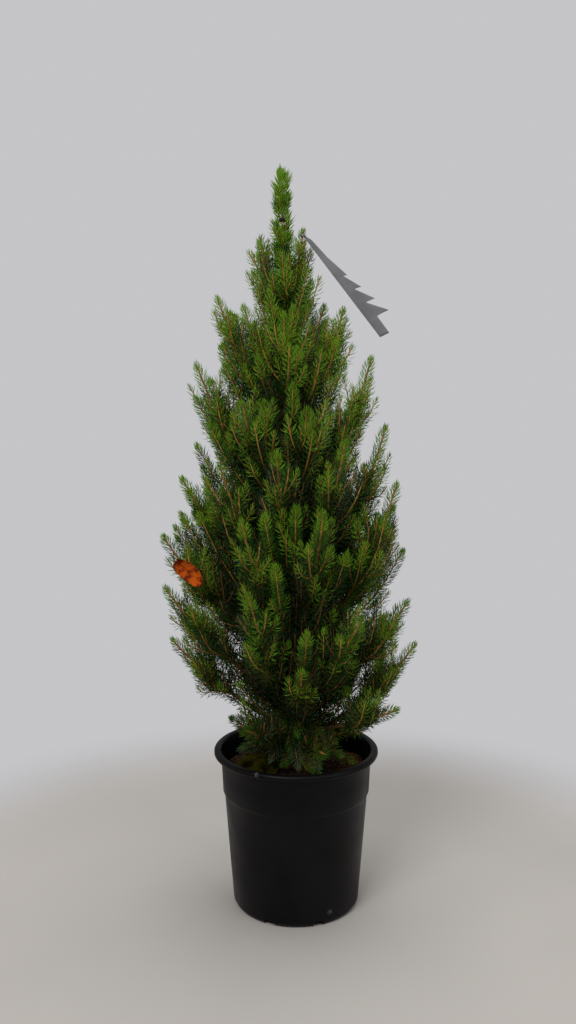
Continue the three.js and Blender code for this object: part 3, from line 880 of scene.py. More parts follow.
def plume_of(tier: Tier, index: int, trunk: TrunkLine, rule: LimbRule) -> Plume:
    """A tier's plume, its root sunk a little way into the trunk.

    Args:
        tier: the tier.
        index: which of its rows.
        trunk: the trunk's line.
        rule: the limbs' sizes.

    Returns:
        The plume.
    """
    degrees, reach, tip_height = tier.rows[index]
    angle = math.radians(degrees)
    out = np.array([math.cos(angle), math.sin(angle), 0.0])
    joint = tier.joint + rule.stagger * ((index + 1) * GOLDEN_SHARE % 1 - 0.5)
    centre = trunk.centre(joint)
    knee = centre + out * reach * tier.bend[0]
    knee[2] = mix(joint, tip_height, tier.bend[1])
    tip = trunk.centre(tip_height) + out * reach
    end = tip - unit(tip - knee) * rule.tip
    radius = float(np.clip(rule.root_share * trunk.radius(joint), rule.thinnest, rule.thickest))
    root = centre + out * float(trunk.radius(joint)) * rule.seat
    return Plume(tier, index + 1, angle, reach, reach >= rule.main_reach, radius, np.stack([root, knee, end]))


@dataclass
class Shoots:
    """Many shoots at once: their curves, two radii, bare share, plume and order, one row for each."""

    controls: Array
    radii: Array
    bare: Array
    own: Array
    order: Array

    def __len__(self) -> int:
        """How many shoots there are."""
        return len(self.controls)

    def columns(self) -> tuple[Array, ...]:
        """The five arrays in the order of the fields."""
        return self.controls, self.radii, self.bare, self.own, self.order

    def chosen(self, index: Array) -> Shoots:
        """The shoots at these places, or where a mask is true."""
        return Shoots(*(values[index] for values in self.columns()))

    @staticmethod
    def alike(controls: Array, radii: Pair, bare: float, own: Array, order: Order) -> Shoots:
        """Shoots that share their two radii, their bare share and their order."""
        count = len(controls)
        return Shoots(controls, np.tile(radii, (count, 1)), np.full(count, bare), own, np.full(count, order))

    @staticmethod
    def joined(groups: list[Shoots]) -> Shoots:
        """Several groups of shoots as one."""
        return Shoots(*(np.concatenate(same) for same in zip(*(group.columns() for group in groups))))

    def luck(self) -> Array:
        """Each shoot's own chance."""
        return jitter(np.arange(len(self)) * 0.611 + 3)

    def lengths(self) -> Array:
        """Each shoot's length: a third of twice its chord and the two lines round by its middle point.

        Returns:
            The lengths.
        """
        a, b, c = self.controls[:, 0], self.controls[:, 1], self.controls[:, 2]
        chord = np.linalg.norm(c - a, axis=1)
        return (2 * chord + np.linalg.norm(b - a, axis=1) + np.linalg.norm(c - b, axis=1)) / 3

    def binormals(self) -> Array:
        """A direction square to each shoot's own plane, or to a fixed line where it hardly bends at all.

        Returns:
            The unit directions.
        """
        a, b, c = self.controls[:, 0], self.controls[:, 1], self.controls[:, 2]
        normal = np.cross(b - a, c - b)
        flat = np.linalg.norm(normal, axis=1) < STRAIGHT * np.linalg.norm(c - a, axis=1) ** 2
        normal[flat] = np.cross((c - a)[flat], FIXED_LINE)
        return unit(normal)


@dataclass
class Crown:
    """The frame of the crown: where every shoot runs, and the space that each plume keeps to.

    A row of the outline is a height and how far the crown reaches there. The tag's fall is its angle below
    level in degrees, and its share the place on its shoot where it hangs.
    """

    trunk: TrunkLine = TrunkLine()
    limb: LimbRule = LimbRule()
    shoot: ShootRule = ShootRule()
    inner: InnerRule = InnerRule()
    foot: FootRule = FootRule()
    room: Room = Room()
    spire: SpireRule = SpireRule()
    outline: tuple[Pair, ...] = (
        (205, 96), (236, 118), (262, 150), (310, 168), (400, 186), (500, 194), (580, 186), (650, 168),
        (725, 152), (820, 132), (905, 102), (960, 66), (990, 42), (1080, 20),
    )
    tag_fall: float = 52.0
    tag_share: float = 0.97
    leader_samples: int = 4
    leader_levels: Pair = (870.0, 790.0)
    leader_radii: tuple[Pair, ...] = ((2.5, 1.4), (3.6, 2.6), (4.4, 3.6))

    def __post_init__(self) -> None:
        """Works out the plumes' curves and the tag's place."""
        self.plumes = [
            plume_of(tier, row, self.trunk, self.limb) for tier in TIERS for row in range(len(tier.rows))
        ]
        shares = np.linspace(0, 1, self.limb.samples + 1)
        self.samples = [plume.at(shares) for plume in self.plumes]
        levels = np.linspace(self.trunk.tip + GAP, self.trunk.top, self.leader_samples)
        self.samples.append(self.trunk.centre(levels))
        self.tag_root = self.plumes[1].at(self.tag_share)
        fall = math.radians(self.tag_fall)
        self.tag_axes = np.array(
            [(math.cos(fall), 0, -math.sin(fall)), (math.sin(fall), 0, math.cos(fall)), (0, -1, 0)]
        )

    def distances(self, points: Array) -> Array:
        """How far each point lies from each plume's stem, and last from the leader.

        The nearest of a stem's straight stretches counts: p less a less the clamped share of a to b.

        Args:
            points: the points.

        Returns:
            One row for each point and one column for each stem.
        """
        found = []
        for line in self.samples:
            start, run = line[:-1], np.diff(line, axis=0)
            away = points[:, None] - start
            share = np.clip((away * run).sum(-1) / (run * run).sum(-1), 0, 1)
            found.append(np.linalg.norm(away - share[..., None] * run, axis=-1).min(1))
        return np.stack(found, 1)

    def radial(self, points: Array) -> Array:
        """How far each point stands out from the trunk's middle at its own height."""
        centre = self.trunk.centre(points[:, 2])
        return np.hypot(points[:, 0] - centre[:, 0], points[:, 1] - centre[:, 1])

    def reach(self, height: Array) -> Array:
        """How far the crown reaches at a height, along straight lines between the outline's rows."""
        rows = np.array(self.outline)
        return np.interp(height, rows[:, 0], rows[:, 1], right=0)

    def clear(self, points: Array, slack: float = 0.0) -> Array:
        """True where a point is inside the outline and clear of pot, soil, moss, band and tag.

        The band keeps a ring free and a window in front, the tag its slab and the space before it.

        Args:
            points: the points.
            slack: how far past the outline a point may stand.

        Returns:
            One truth value for each point.
        """
        room, z, off_axis = self.room, points[:, 2], self.radial(points)
        good = off_axis < self.reach(z) + slack
        by_lip = np.hypot(points[:, 0], points[:, 1]) > POT_NECK - room.rim
        good &= np.where(by_lip, z > POT_HEIGHT + room.over_rim, z > SOIL_TOP + room.over_soil)
        mossy = np.hypot(points[:, 0] - MOSS_PLACE[0], points[:, 1] - MOSS_PLACE[1]) < room.moss_radius
        good &= ~mossy | (z > SOIL_TOP + room.moss_height + room.over_soil)
        level, aside = np.abs(z - BAND_LEVEL), np.abs(points[:, 0] - self.trunk.centre(z)[:, 0])
        good &= (level > room.band[0]) | (off_axis > room.band[1])
        good &= (aside > room.band_front[0]) | (level > room.band_front[1]) | (points[:, 1] > 0)
        along, across, facing = ((points - self.tag_root) @ axis for axis in self.tag_axes)
        start, end, under, over = room.slab
        in_slab = (along > start) & (along < end) & (across > under) & (across < over)
        return good & ~(in_slab & (facing > -room.behind_slab) & (facing < room.before_slab))

    def keeps(self, points: Array, own: Array, margin: float) -> Array:
        """True where a point is clear of everything and nearer to its own stem than to any other.

        Args:
            points: the points.
            own: each point's plume.
            margin: room to leave towards the trunk, the boughs and the next plume.

        Returns:
            One truth value for each point.
        """
        away = self.distances(points)
        own_away = away[np.arange(len(points)), own]
        away[np.arange(len(points)), own] = np.inf
        z = points[:, 2]
        off_trunk = (z > self.trunk.tip) | (self.radial(points) > self.trunk.radius(z) + margin)
        return self.clear(points) & off_trunk & (away.min(1) > own_away + margin)

    def grown(
        self, root: Array, along: Array, side: Array, reach: Array, own: Array, upward: Array, spread: Array,
        margin: float,
    ) -> tuple[Array, Array]:
        """Grows one shoot from each root: out at the spread angle, then bent upwards.

        The curve runs by a knee on the heading to an end lifted by the rise. It is shortened until it keeps
        to its space, and left out if it gets too short.

        Args:
            root: where the shoots start.
            along: direction of what bears them.
            side: direction that they lean to.
            reach: how far each would grow.
            own: each shoot's plume.
            upward: how steeply each turns up.
            spread: angle in radians at which each leaves.
            margin: room to leave to the next plume.

        Returns:
            The curves, and whether each shoot is kept.
        """
        rule, count = self.shoot, len(root)
        side = unit(side - along * (side * along).sum(1, keepdims=True))
        heading = along * np.cos(spread)[:, None] + side * np.sin(spread)[:, None]
        best = np.zeros((count, 3, 3))
        kept = np.zeros(count, bool)
        shares = np.broadcast_to(np.linspace(rule.probes_from, 1, rule.probes), (count, rule.probes))
        for _ in range(rule.tries):
            size = reach[:, None]
            knee = root + heading * size * rule.knee
            end = root + heading * size * rule.run / upward[:, None] + UP * size * rule.rise * upward[:, None]
            controls = np.stack([root, knee, end], 1)
            probes = curve(controls[:, None], shares)
            free = self.keeps(probes.reshape(-1, 3), np.repeat(own, rule.probes), margin)
            new = free.reshape(count, -1).all(1) & ~kept & (reach >= 0.5 * rule.shortest)
            best[new] = controls[new]
            kept |= new
            reach = reach * rule.shortening
        return best, kept

    def stems(self) -> Shoots:
        """The plumes' own stems, bare near the trunk and along their boughs.

        Returns:
            The stems, in the order of the plumes.
        """
        controls = np.stack([plume.controls for plume in self.plumes])
        count = len(self.plumes)
        stems = Shoots.alike(controls, (0.0, self.limb.tip_radius), 0.0, np.arange(count), Order.STEM)
        stems.radii[:, 0] = [plume.root_radius for plume in self.plumes]
        carried = np.array([plume.carried for plume in self.plumes])
        stems.bare = np.where(carried, self.limb.bough_share, self.limb.bare_share)
        return stems

    def leader(self) -> Shoots:
        """The leader and the needled top of the trunk, as straight shoots end to end from above.

        Returns:
            The three shoots.
        """
        upper, lower = self.leader_levels
        levels = np.array([(self.trunk.tip, self.trunk.top), (upper, self.trunk.tip), (lower, upper)])
        ends = self.trunk.centre(levels)
        controls = np.stack([ends[:, 0], ends.mean(1), ends[:, 1]], 1)
        own = np.full(len(controls), len(self.plumes))
        leader = Shoots.alike(controls, self.leader_radii[0], 0.0, own, Order.LEADER)
        leader.radii = np.array(self.leader_radii)
        return leader

    def spires(self) -> Shoots:
        """The slim spires, each bent as a plume is: from its joint by a knee to its tip.

        Returns:
            The spires, each with the plume nearest to its middle as its own.
        """
        rule = self.spire
        angle, reach, tip_height, joint = np.array(rule.rows).T
        out = np.stack([np.cos(np.radians(angle)), np.sin(np.radians(angle)), 0 * angle], 1)
        root = self.trunk.centre(joint)
        knee = root + out * (reach * rule.bend[0])[:, None]
        knee[:, 2] = mix(joint, tip_height, rule.bend[1])
        tip = self.trunk.centre(tip_height) + out * reach[:, None]
        tip -= unit(tip - knee) * self.limb.tip
        controls = np.stack([root, knee, tip], 1)
        own = self.distances(curve(controls, np.full(len(angle), rule.middle))).argmin(1)
        return Shoots.alike(controls, rule.radii, rule.bare, own, Order.SPIRE)

    def starts_on(self, own: int, plume: Plume) -> tuple[Array, ...]:
        """Where one stem's side shoots start and how they set out, from its foot to its top.

        Every third place is the source's own, on a slim plume every one. A fan turns the shoots by the golden
        share of a wide angle, and each is shorter the higher it stands.

        Args:
            own: the plume's place in the list.
            plume: the plume.

        Returns:
            Roots, headings of the stem, sides, reaches, the plume's place and leaving angles.
        """
        rule = self.shoot
        finer = 1 if plume.reach < rule.slim else rule.finer
        steps = finer * (plume.tier.shoots - 1) + 1
        order = np.arange(steps) / finer
        grade = order / (plume.tier.shoots - 1)
        between = np.arange(steps) % finer
        source = between == 0
        start = self.limb.bough_share if plume.carried else 0.0
        share = mix(start + (1 - start) * rule.first, np.where(source, rule.last, rule.finer_last), grade)
        fan = ((order + 1) * GOLDEN_SHARE + rule.fan_shift * plume.number + between / finer) % 1 - 0.5
        turn = plume.angle + math.radians(rule.fan) * fan
        side = np.stack([np.cos(turn), np.sin(turn), np.full(steps, rule.side_rise)], 1)
        uneven = 1 + rule.uneven * jitter(order * 3.1 + 17 * own)
        uneven = uneven * np.where(source, 1.0, mix(1.0, rule.finer_least, grade))
        full = plume.tier.length * mix(rule.lowest, rule.highest, grade) * uneven
        room = (rule.finer_top - share) * np.linalg.norm(plume.controls[2] - plume.controls[0])
        reach = np.where(source, full, np.minimum(full, room))
        spread = np.where(source, rule.spread, rule.finer_spread)
        return plume.at(share), plume.heading(share), side, reach, np.full(steps, own), spread

    def first_shoots(self) -> Shoots:
        """The side shoots of every stem that find room, the longer the thicker.

        Returns:
            The shoots.
        """
        rule = self.shoot
        starts = [self.starts_on(own, plume) for own, plume in enumerate(self.plumes)]
        root, along, side, reach, own, spread = (np.concatenate(same) for same in zip(*starts))
        upward = rule.upward[0] + rule.upward[1] * jitter(np.arange(len(root)) * 1.7)
        controls, kept = self.grown(root, along, side, reach, own, upward, spread, 0.0)
        shoots = Shoots.alike(controls, rule.radii, rule.bare, own, Order.SIDE)
        shoots.radii[:, 0] *= np.clip(reach / rule.full_length, *rule.thicker)
        return shoots.chosen(kept)

    def inner_shoots(self) -> Shoots:
        """Weaker shoots straight from the trunk, between the plumes, turned by the golden angle.

        They stand closer together low down. High up the front is left open, so that the trunk shows there.

        Returns:
            The shoots that find room.
        """
        rule = self.inner
        place = (np.arange(rule.count) / (rule.count - 1)) ** rule.crowding
        height = mix(rule.lowest, rule.highest, place)
        turn = GOLDEN_ANGLE * np.arange(rule.count)
        root = self.trunk.centre(height)
        side = np.stack([np.cos(turn), np.sin(turn), np.full(rule.count, rule.rise)], 1)
        along = np.broadcast_to(UP, root.shape)
        reach = mix(rule.longest, rule.shortest, place) * (1 + rule.uneven * jitter(place * 91))
        own = self.distances(root + side * reach[:, None] * rule.middle).argmin(1)
        upward, spread = (np.full(rule.count, value) for value in (rule.upward, self.shoot.spread))
        controls, kept = self.grown(root, along, side, reach, own, upward, spread, -rule.crossing)
        front = np.abs(np.degrees(turn) % 360 - FRONT_DEGREES) < rule.open_half
        kept &= ~(front & (height > rule.open_from))
        return Shoots.alike(controls, rule.radii, rule.bare, own, Order.SIDE).chosen(kept)

    def foot_shoots(self) -> Shoots:
        """Low shoots that leave the trunk level and droop over the soil: out, a little up, then down.

        Returns:
            The shoots that are clear of everything.
        """
        rule = self.foot
        step = np.arange(rule.count)
        height = mix(*rule.levels, step / (rule.count - 1))
        turn = GOLDEN_ANGLE * step + rule.first_angle
        out = np.stack([np.cos(turn), np.sin(turn), 0 * turn], 1)
        root = self.trunk.centre(height)
        reach = mix(*rule.reach, 0.5 + 0.5 * jitter(step * 2.3))[:, None]
        fall = rule.fall * (rule.uneven[0] + rule.uneven[1] * jitter(step * 1.1 + 4))[:, None]
        aside = np.cross(UP, out) * rule.aside * jitter(step * 0.7)[:, None]
        knee = root + out * reach * rule.knee[0] + UP * rule.knee[1]
        end = root + out * reach + aside - UP * fall
        end[:, 2] = np.maximum(end[:, 2], SOIL_TOP + rule.over_soil)
        controls = np.stack([root, knee, end], 1)
        shares = np.broadcast_to(rule.probes, (rule.count, len(rule.probes)))
        probes = curve(controls[:, None], shares).reshape(-1, 3)
        free = self.clear(probes).reshape(rule.count, -1).all(1)
        own = self.distances(end).argmin(1)
        return Shoots.alike(controls, rule.radii, rule.bare, own, Order.FOOT).chosen(free)

    def second_shoots(self, parents: Shoots, rule: ShortRule) -> Shoots:
        """Short shoots round each bearer, turned by the golden angle.

        Args:
            parents: what they grow on.
            rule: how many stand on each, where, and how long.

        Returns:
            The shoots that find room.
        """
        parent = np.repeat(np.arange(len(parents)), rule.count)
        step = np.tile(np.arange(rule.count), len(parents))
        place = step / max(rule.count - 1, 1)
        place = np.clip(place + rule.shuffle * jitter(parent * 0.37 + place * 5), 0, 1)
        at = mix(*rule.share, place)
        controls = parents.controls[parent]
        along = curve_heading(controls, at)
        flat = parents.binormals()[parent]
        turn = GOLDEN_ANGLE * step + rule.twist * jitter(parent * 0.71)
        side = flat * np.cos(turn)[:, None] + np.cross(flat, along) * np.sin(turn)[:, None]
        side = side + UP * self.shoot.side_rise
        reach = parents.lengths()[parent] * mix(*rule.size, place)
        reach = reach * (1 + rule.uneven * jitter(parent + 9.3 * place))
        own = parents.own[parent]
        upward, spread = (np.full(len(parent), value) for value in (1.0, self.shoot.spread))
        grown, kept = self.grown(curve(controls, at), along, side, reach, own, upward, spread, 0.0)
        shoots = Shoots.alike(grown, rule.radii, 0.0, own, rule.order)
        return shoots.chosen(kept & (shoots.lengths() > rule.shortest))


# Bark


@dataclass
class Bark:
    """The barked wood: the trunk, the boughs and the plumes' stems, each a tube with relief.

    The plates are so many cells round and so tall, and the folds too. A mesh size is rings and sides.
    """

    crown: Crown
    trunk_mesh: tuple[int, int] = (330, 44)
    crowding: float = 1.15
    plates: tuple[int, float] = (7, 11.0)
    cracks: Pair = (0.38, 0.58)
    sunk: float = 0.6
    flake: float = 0.55
    folds: tuple[int, float] = (4, 60.0)
    fold: float = 0.14
    relief: float = 0.2
    limb_plates: tuple[int, float] = (5, 7.0)
    limb_relief: float = 1.6
    collar: Pair = (0.45, 7.0)
    young_from: float = 0.5
    bough_mesh: tuple[int, int] = (34, 14)
    stem_mesh: tuple[int, int] = (16, 8)
    top_mesh: tuple[int, int] = (22, 8)
    leader_mesh: tuple[int, int] = (40, 10)

    @staticmethod
    def cover(angle: Array, along: Array, cells: tuple[int, float], seed: int, octaves: int) -> Array:
        """Layered noise wrapped round a tube: so many cells round, and each so long."""
        u, v = angle / (2 * np.pi) * cells[0] + 0 * along, along / cells[1] + 0 * angle
        return layered(u, v, seed, octaves, cells[0])

    def trunk(self) -> Surface:
        """The trunk: level rings whose radius swells at the root lobes and by flaky plates.

        The plates are layered noise over the angle and the height, squared off so that they part in cracks.

        Returns:
            The closed trunk.
        """
        line, (rows, sides) = self.crown.trunk, self.trunk_mesh
        height = mix(line.foot, line.tip, np.linspace(0, 1, rows) ** self.crowding)[:, None]
        angle = round_angles(sides)[None]
        flaky = smooth(*self.cracks, self.cover(angle, height, self.plates, 3, 4)) - self.sunk
        folds = self.cover(angle, height, self.folds, 8, 2) - 0.5
        scale = 1 + self.relief * flaky * self.flake + self.fold * folds
        radius = line.radius(height) * scale + line.spread(height, angle)
        centre = line.centre(height[:, 0])[:, None]
        rings = centre + np.stack([radius * np.cos(angle), radius * np.sin(angle), 0 * radius], -1)
        return tubes(rings[None], line.centre([line.foot]), line.centre([line.tip + 1]))

    def limb(self, plume: Plume, start: float, end: float, size: tuple[int, int]) -> Surface:
        """A stretch of a plume's stem: rings square to its curve, with a swollen collar at the trunk.

        Args:
            plume: the plume.
            start: share of the stem where the stretch starts.
            end: share where it ends.
            size: number of rings, and corners of each.

        Returns:
            The closed tube.
        """
        share = np.linspace(start, end, size[0])
        point, heading = plume.at(share), plume.heading(share)
        flat = np.array([-math.sin(plume.angle), math.cos(plume.angle), 0])
        flat = np.broadcast_to(flat, heading.shape)
        lift = np.cross(heading, flat)
        angle = round_angles(size[1])[None]
        along = share[:, None] * np.linalg.norm(plume.controls[2] - plume.controls[0])
        plates = self.cover(angle, along, self.limb_plates, plume.number, 3) - 0.5
        swell = 1 + self.collar[0] * np.exp(-along / self.collar[1])
        scale = 1 + self.relief * plates * self.limb_relief
        radius = plume.radius(share, self.crown.limb)[:, None] * swell * scale
        ring = flat[:, None] * np.cos(angle)[..., None] + lift[:, None] * np.sin(angle)[..., None]
        rings = point[:, None] + ring * radius[..., None]
        return tubes(rings[None, :, ::-1], point[:1], point[-1:] + heading[-1:] * radius[-1, 0])

    def build(self) -> None:
        """Makes the trunk, the boughs and the stems."""
        plumes, split, rule = self.crown.plumes, self.young_from, self.crown.limb
        piece("trunk_bark", self.trunk(), BARK, ["trunk"])
        carried = [p for p in plumes if p.carried]
        boughs = [self.limb(p, 0, rule.bough_share, self.bough_mesh) for p in carried]
        names = [f"{p.tier.name}_bough_{p.number}" for p in carried]
        piece("bough_bark", Surface.joined(boughs), BARK, names)
        starts = [rule.bough_share if p.carried else 0 for p in plumes]
        stems = [self.limb(p, start, split, self.stem_mesh) for p, start in zip(plumes, starts)]
        piece("plume_stems", Surface.joined(stems), STEM, foliage_nodes(self.crown))
        tops = [self.limb(p, split, 1, self.top_mesh) for p in plumes]
        leader = self.crown.leader()
        line = Plume(TIERS[0], 0, 0.0, 0.0, False, leader.radii[0, 0], leader.controls[0])
        tops.append(self.limb(line, 0, 1, self.leader_mesh))
        piece("plume_tops", Surface.joined(tops), TWIG, foliage_nodes(self.crown))


def foliage_nodes(crown: Crown) -> list[str]:
    """The CAD nodes of all the masses and of the leader."""
    return [f"{p.tier.name}_foliage_{p.number}" for p in crown.plumes] + ["leader_foliage"]


# Twigs and needles


def spindles(base: Array, middle: Array, tip: Array, across: Array, radius: Array | float) -> Surface:
    """Slim closed spindles of six faces: a point, three corners round the middle, and a point.

    Args:
        base: first point of each.
        middle: centre of each one's corners.
        tip: last point of each.
        across: a direction square to each.
        radius: how far out the corners stand.

    Returns:
        All of them as one surface.
    """
    over = np.cross(unit(tip - base), across)
    angle = np.pi / 2 + round_angles(3)
    ring = across[:, None] * np.cos(angle)[None, :, None] + over[:, None] * np.sin(angle)[None, :, None]
    corners = middle[:, None] + ring * np.asarray(radius).reshape(-1, 1, 1)
    points = np.concatenate([base[:, None], corners, tip[:, None]], 1)
    faces = np.array([(0, 2, 1), (0, 3, 2), (0, 1, 3), (4, 1, 2), (4, 2, 3), (4, 3, 1)])
    shift = (5 * np.arange(len(base)))[:, None, None]
    return Surface(points.reshape(-1, 3), tris=(faces[None] + shift).reshape(-1, 3))


@dataclass(frozen=True)
class LifeRule:
    """How lively shoots are, from 0 deep inside to over 1 at the outline.

    Between the heights of the top it grows, between those of the foot it fades. The low shoots and the spires
    have a usual value and how far chance moves it. The needles' tones follow it, so that the darker tones
    inside stand partly for older needles and partly for painted shade.
    """

    least_reach: float = 30.0
    chance: float = 0.14
    top: Pair = (620.0, 900.0)
    top_gain: float = 0.34
    foot: Pair = (440.0, 260.0)
    foot_loss: float = 0.16
    low: Pair = (0.66, 0.12)
    spire: Pair = (0.82, 0.1)
    leader: float = 0.85
    least_stem: float = 0.62
    # below this, a shoot's needles take the painted-shade tone, and fewer stand on it
    deep_below: float = 0.52
    young: float = 0.6


@dataclass(frozen=True)
class ToneRule:
    """How tones are dealt out: by liveliness, by height and by chance, which runs from -1 to 1.

    A tuft is the bright stretch at a shoot's tip, a band one of the leader.
    """

    fresh: float = 0.8
    low_below: float = 420.0
    low_olive: float = 0.55
    damp_below: float = 300.0
    damp_olive: float = -0.1
    grey_life: float = 0.5
    grey_chance: float = -0.8
    young_life: float = 0.55
    young_chance: float = -0.6
    tuft: float = 26.0
    tuft_chance: Pair = (0.8, 0.35)
    high: Pair = (650.0, 900.0)
    high_gain: float = 0.8
    low: Pair = (440.0, 300.0)
    low_loss: float = 0.4
    band: Pair = (0.21, -0.3)


@dataclass(frozen=True)
class NeedleRule:
    """How needles stand on a shoot, and how long and thick they are.

    The density is that on the leader, on stems and spires, on low shoots and deep inside. Of two values with
    a chance the first is the usual one. The stout ones are on leader and tufts, and on stems and spires.
    """

    per_mm: float = 1.0
    fewest: int = 6
    dense: Four = (5.5, 2.0, 1.7, 0.54)
    shuffle: float = 0.4
    crowding: float = 1.12
    twist: float = 3.0
    lean: Pair = (1.02, 0.34)
    lean_chance: float = 0.14
    lean_within: float = 20.0
    steep: float = 0.86
    crest: float = 2.5
    crest_chance: Pair = (0.18, 0.16)
    curl: float = 0.17
    length: float = 15.0
    length_chance: Pair = (0.92, 0.14)
    shorter: float = 0.66
    shorter_within: float = 14.0
    ragged: Triple = (1.24, 0.24, 0.12)
    ragged_wave: Pair = (0.23, 2.0)
    finer: float = 0.92
    widest: float = 0.56
    lift: Pair = (0.06, 0.12)
    seat: float = 0.5
    slack: float = 4.0
    radius: float = 0.54
    # painted shade: the near-black inner needles are thicker, so that they fill the crown's inside
    painted_shade_radius: float = 0.94
    stout: Pair = (1.3, 1.14)


@dataclass
class Foliage:
    """The twigs, buds and needles of the whole crown."""

    crown: Crown
    alive: LifeRule = LifeRule()
    tone: ToneRule = ToneRule()
    needle: NeedleRule = NeedleRule()
    on_sides: ShortRule = ShortRule(3, (0.08, 0.36), (0.58, 0.46))
    on_bearers: ShortRule = ShortRule(13, (0.08, 0.72), (0.32, 0.18))
    on_leader: ShortRule = ShortRule(30, (0.03, 0.74), (0.19, 0.11), Order.TUFT)
    wood_mesh: tuple[int, int] = (5, 4)
    bud: Triple = (2.2, 4.6, 1.25)

    def shoots(self) -> Shoots:
        """Every needled shoot of the crown.

        Returns:
            The shoots.
        """
        crown = self.crown
        stems, leader, spires = crown.stems(), crown.leader(), crown.spires()
        sides = Shoots.joined([crown.first_shoots(), crown.inner_shoots()])
        second = crown.second_shoots(sides, self.on_sides)
        short = crown.second_shoots(Shoots.joined([stems, spires]), self.on_bearers)
        tufts = crown.second_shoots(leader.chosen(np.array([0])), self.on_leader)
        shoots = Shoots.joined([stems, leader, spires, sides, crown.foot_shoots(), second, short, tufts])
        LOG.info("%d shoots, %.1f m in all", len(shoots), shoots.lengths().sum() * MM)
        return shoots

    def life(self, shoots: Shoots) -> Array:
        """How lively each shoot is: more the nearer its tip is to the outline and to the crown's top.

        Low shoots, spires, tufts and the leader have a life of their own, and stems have at least some.

        Args:
            shoots: the shoots.

        Returns:
            One value for each shoot.
        """
        rule, order, luck = self.alive, shoots.order, shoots.luck()
        tip = shoots.controls[:, 2]
        out = self.crown.radial(tip) / np.maximum(self.crown.reach(tip[:, 2]), rule.least_reach)
        life = out + rule.chance * luck + rule.top_gain * smooth(*rule.top, tip[:, 2])
        life = life - rule.foot_loss * smooth(*rule.foot, tip[:, 2])
        life = np.where(order == Order.FOOT, rule.low[0] + rule.low[1] * luck, life)
        slim = np.isin(order, (Order.SPIRE, Order.TUFT))
        life = np.where(slim, rule.spire[0] + rule.spire[1] * luck, life)
        life = np.where(order == Order.STEM, np.maximum(life, rule.least_stem), life)
        return np.where(order == Order.LEADER, rule.leader, life)

    def wood(self, bare: Shoots, name: str, finish: Finish) -> None:
        """Makes one piece of twigs: tapering tubes along the shoots' curves.

        Args:
            bare: the shoots.
            name: name of the piece.
            finish: what it is dressed in.
        """
        rows, sides = self.wood_mesh
        share = np.linspace(0, 1, rows)
        at = np.broadcast_to(share, (len(bare), rows))
        point = curve(bare.controls[:, None], at)
        heading = curve_heading(bare.controls[:, None], at)
        flat = np.broadcast_to(bare.binormals()[:, None], heading.shape)
        lift = np.cross(heading, flat)
        angle = round_angles(sides)
        ring = flat[:, :, None] * np.cos(angle)[:, None] + lift[:, :, None] * np.sin(angle)[:, None]
        radius = mix(bare.radii[:, :1], bare.radii[:, 1:], share)
        rings = (point[:, :, None] + ring * radius[..., None, None])[:, :, ::-1]
        surface = tubes(rings, point[:, 0], point[:, -1] + heading[:, -1])
        piece(name, surface, finish, foliage_nodes(self.crown))

    def tones(self, shoots: Shoots, index: Array, away: Array) -> Array:
        """Which tone each needle has, dealt out by spray.

        The livelier a shoot, the fresher; the darker tones deep inside are partly older needles and partly
        painted shade, and the deepest tone is painted shade. By chance some turn olive low down, and some
        lively ones grey.
        The last stretch of a young shoot is the brightest, as are bands of the leader.

        Args:
            shoots: all the shoots.
            index: each needle's shoot.
            away: how far each needle is from its shoot's tip.

        Returns:
            The place of each needle's tone in the list of tones.
        """
        rule, order = self.tone, shoots.order
        tip, fresh, mid, deep, grey, olive = range(len(Tone))  # the tones' places in their list
        height, life = shoots.controls[:, 2, 2], self.life(shoots)
        levels = [life > rule.fresh, life > self.alive.deep_below]
        # painted shade: shoots deep in the crown get the near-black tone, the others fresh or mid by
        # liveliness
        tone = np.select(levels, [fresh, mid], deep)
        chance = jitter(np.arange(len(shoots)) * 1.31 + 8)
        chance = np.where(np.isin(order, BEARERS), np.abs(chance), chance)
        damp = height < rule.damp_below
        low = (height < rule.low_below) & (chance > rule.low_olive)
        tone = np.where(low | (damp & (chance > rule.damp_olive)), olive, tone)
        tone = np.where((life > rule.grey_life) & (chance < rule.grey_chance), grey, tone)
        young = ((chance > rule.young_chance) | (order == Order.TUFT)) & (life > rule.young_life)
        longer = 1 + rule.high_gain * smooth(*rule.high, height) - rule.low_loss * smooth(*rule.low, height)
        tuft = rule.tuft * (rule.tuft_chance[0] + rule.tuft_chance[1] * shoots.luck()) * longer
        bright = young[index] & (away < tuft[index])
        bright |= (order[index] == Order.LEADER) & (np.sin(away * rule.band[0] + 1) > rule.band[1])
        return np.where(bright, np.where(damp[index], fresh, tip), tone[index])

    def standing(self, shoots: Shoots) -> tuple[Array, Array, Array]:
        """Where the needles stand: at even steps, shuffled a little and crowded towards the shoot's tip.

        Args:
            shoots: all the shoots.

        Returns:
            Each needle's shoot, its number on it and its share of the shoot's curve.
        """
        rule, order = self.needle, shoots.order
        inside = self.life(shoots) < self.alive.deep_below
        kinds = [order == Order.LEADER, np.isin(order, BEARERS), order == Order.FOOT, inside]
        dense = np.select(kinds, list(rule.dense), 1.0)
        counts = np.round(shoots.lengths() * (1 - shoots.bare) * rule.per_mm * dense).astype(int)
        counts = np.maximum(counts, rule.fewest)
        index = np.repeat(np.arange(len(shoots)), counts)
        step = np.arange(len(index)) - np.repeat(np.cumsum(counts) - counts, counts)
        place = (step + 0.5 + rule.shuffle * jitter(step * 0.77 + index)) / counts[index]
        place = 1 - (1 - np.clip(place, 0, 1)) ** rule.crowding
        return index, step, mix(shoots.bare[index], 1, place)

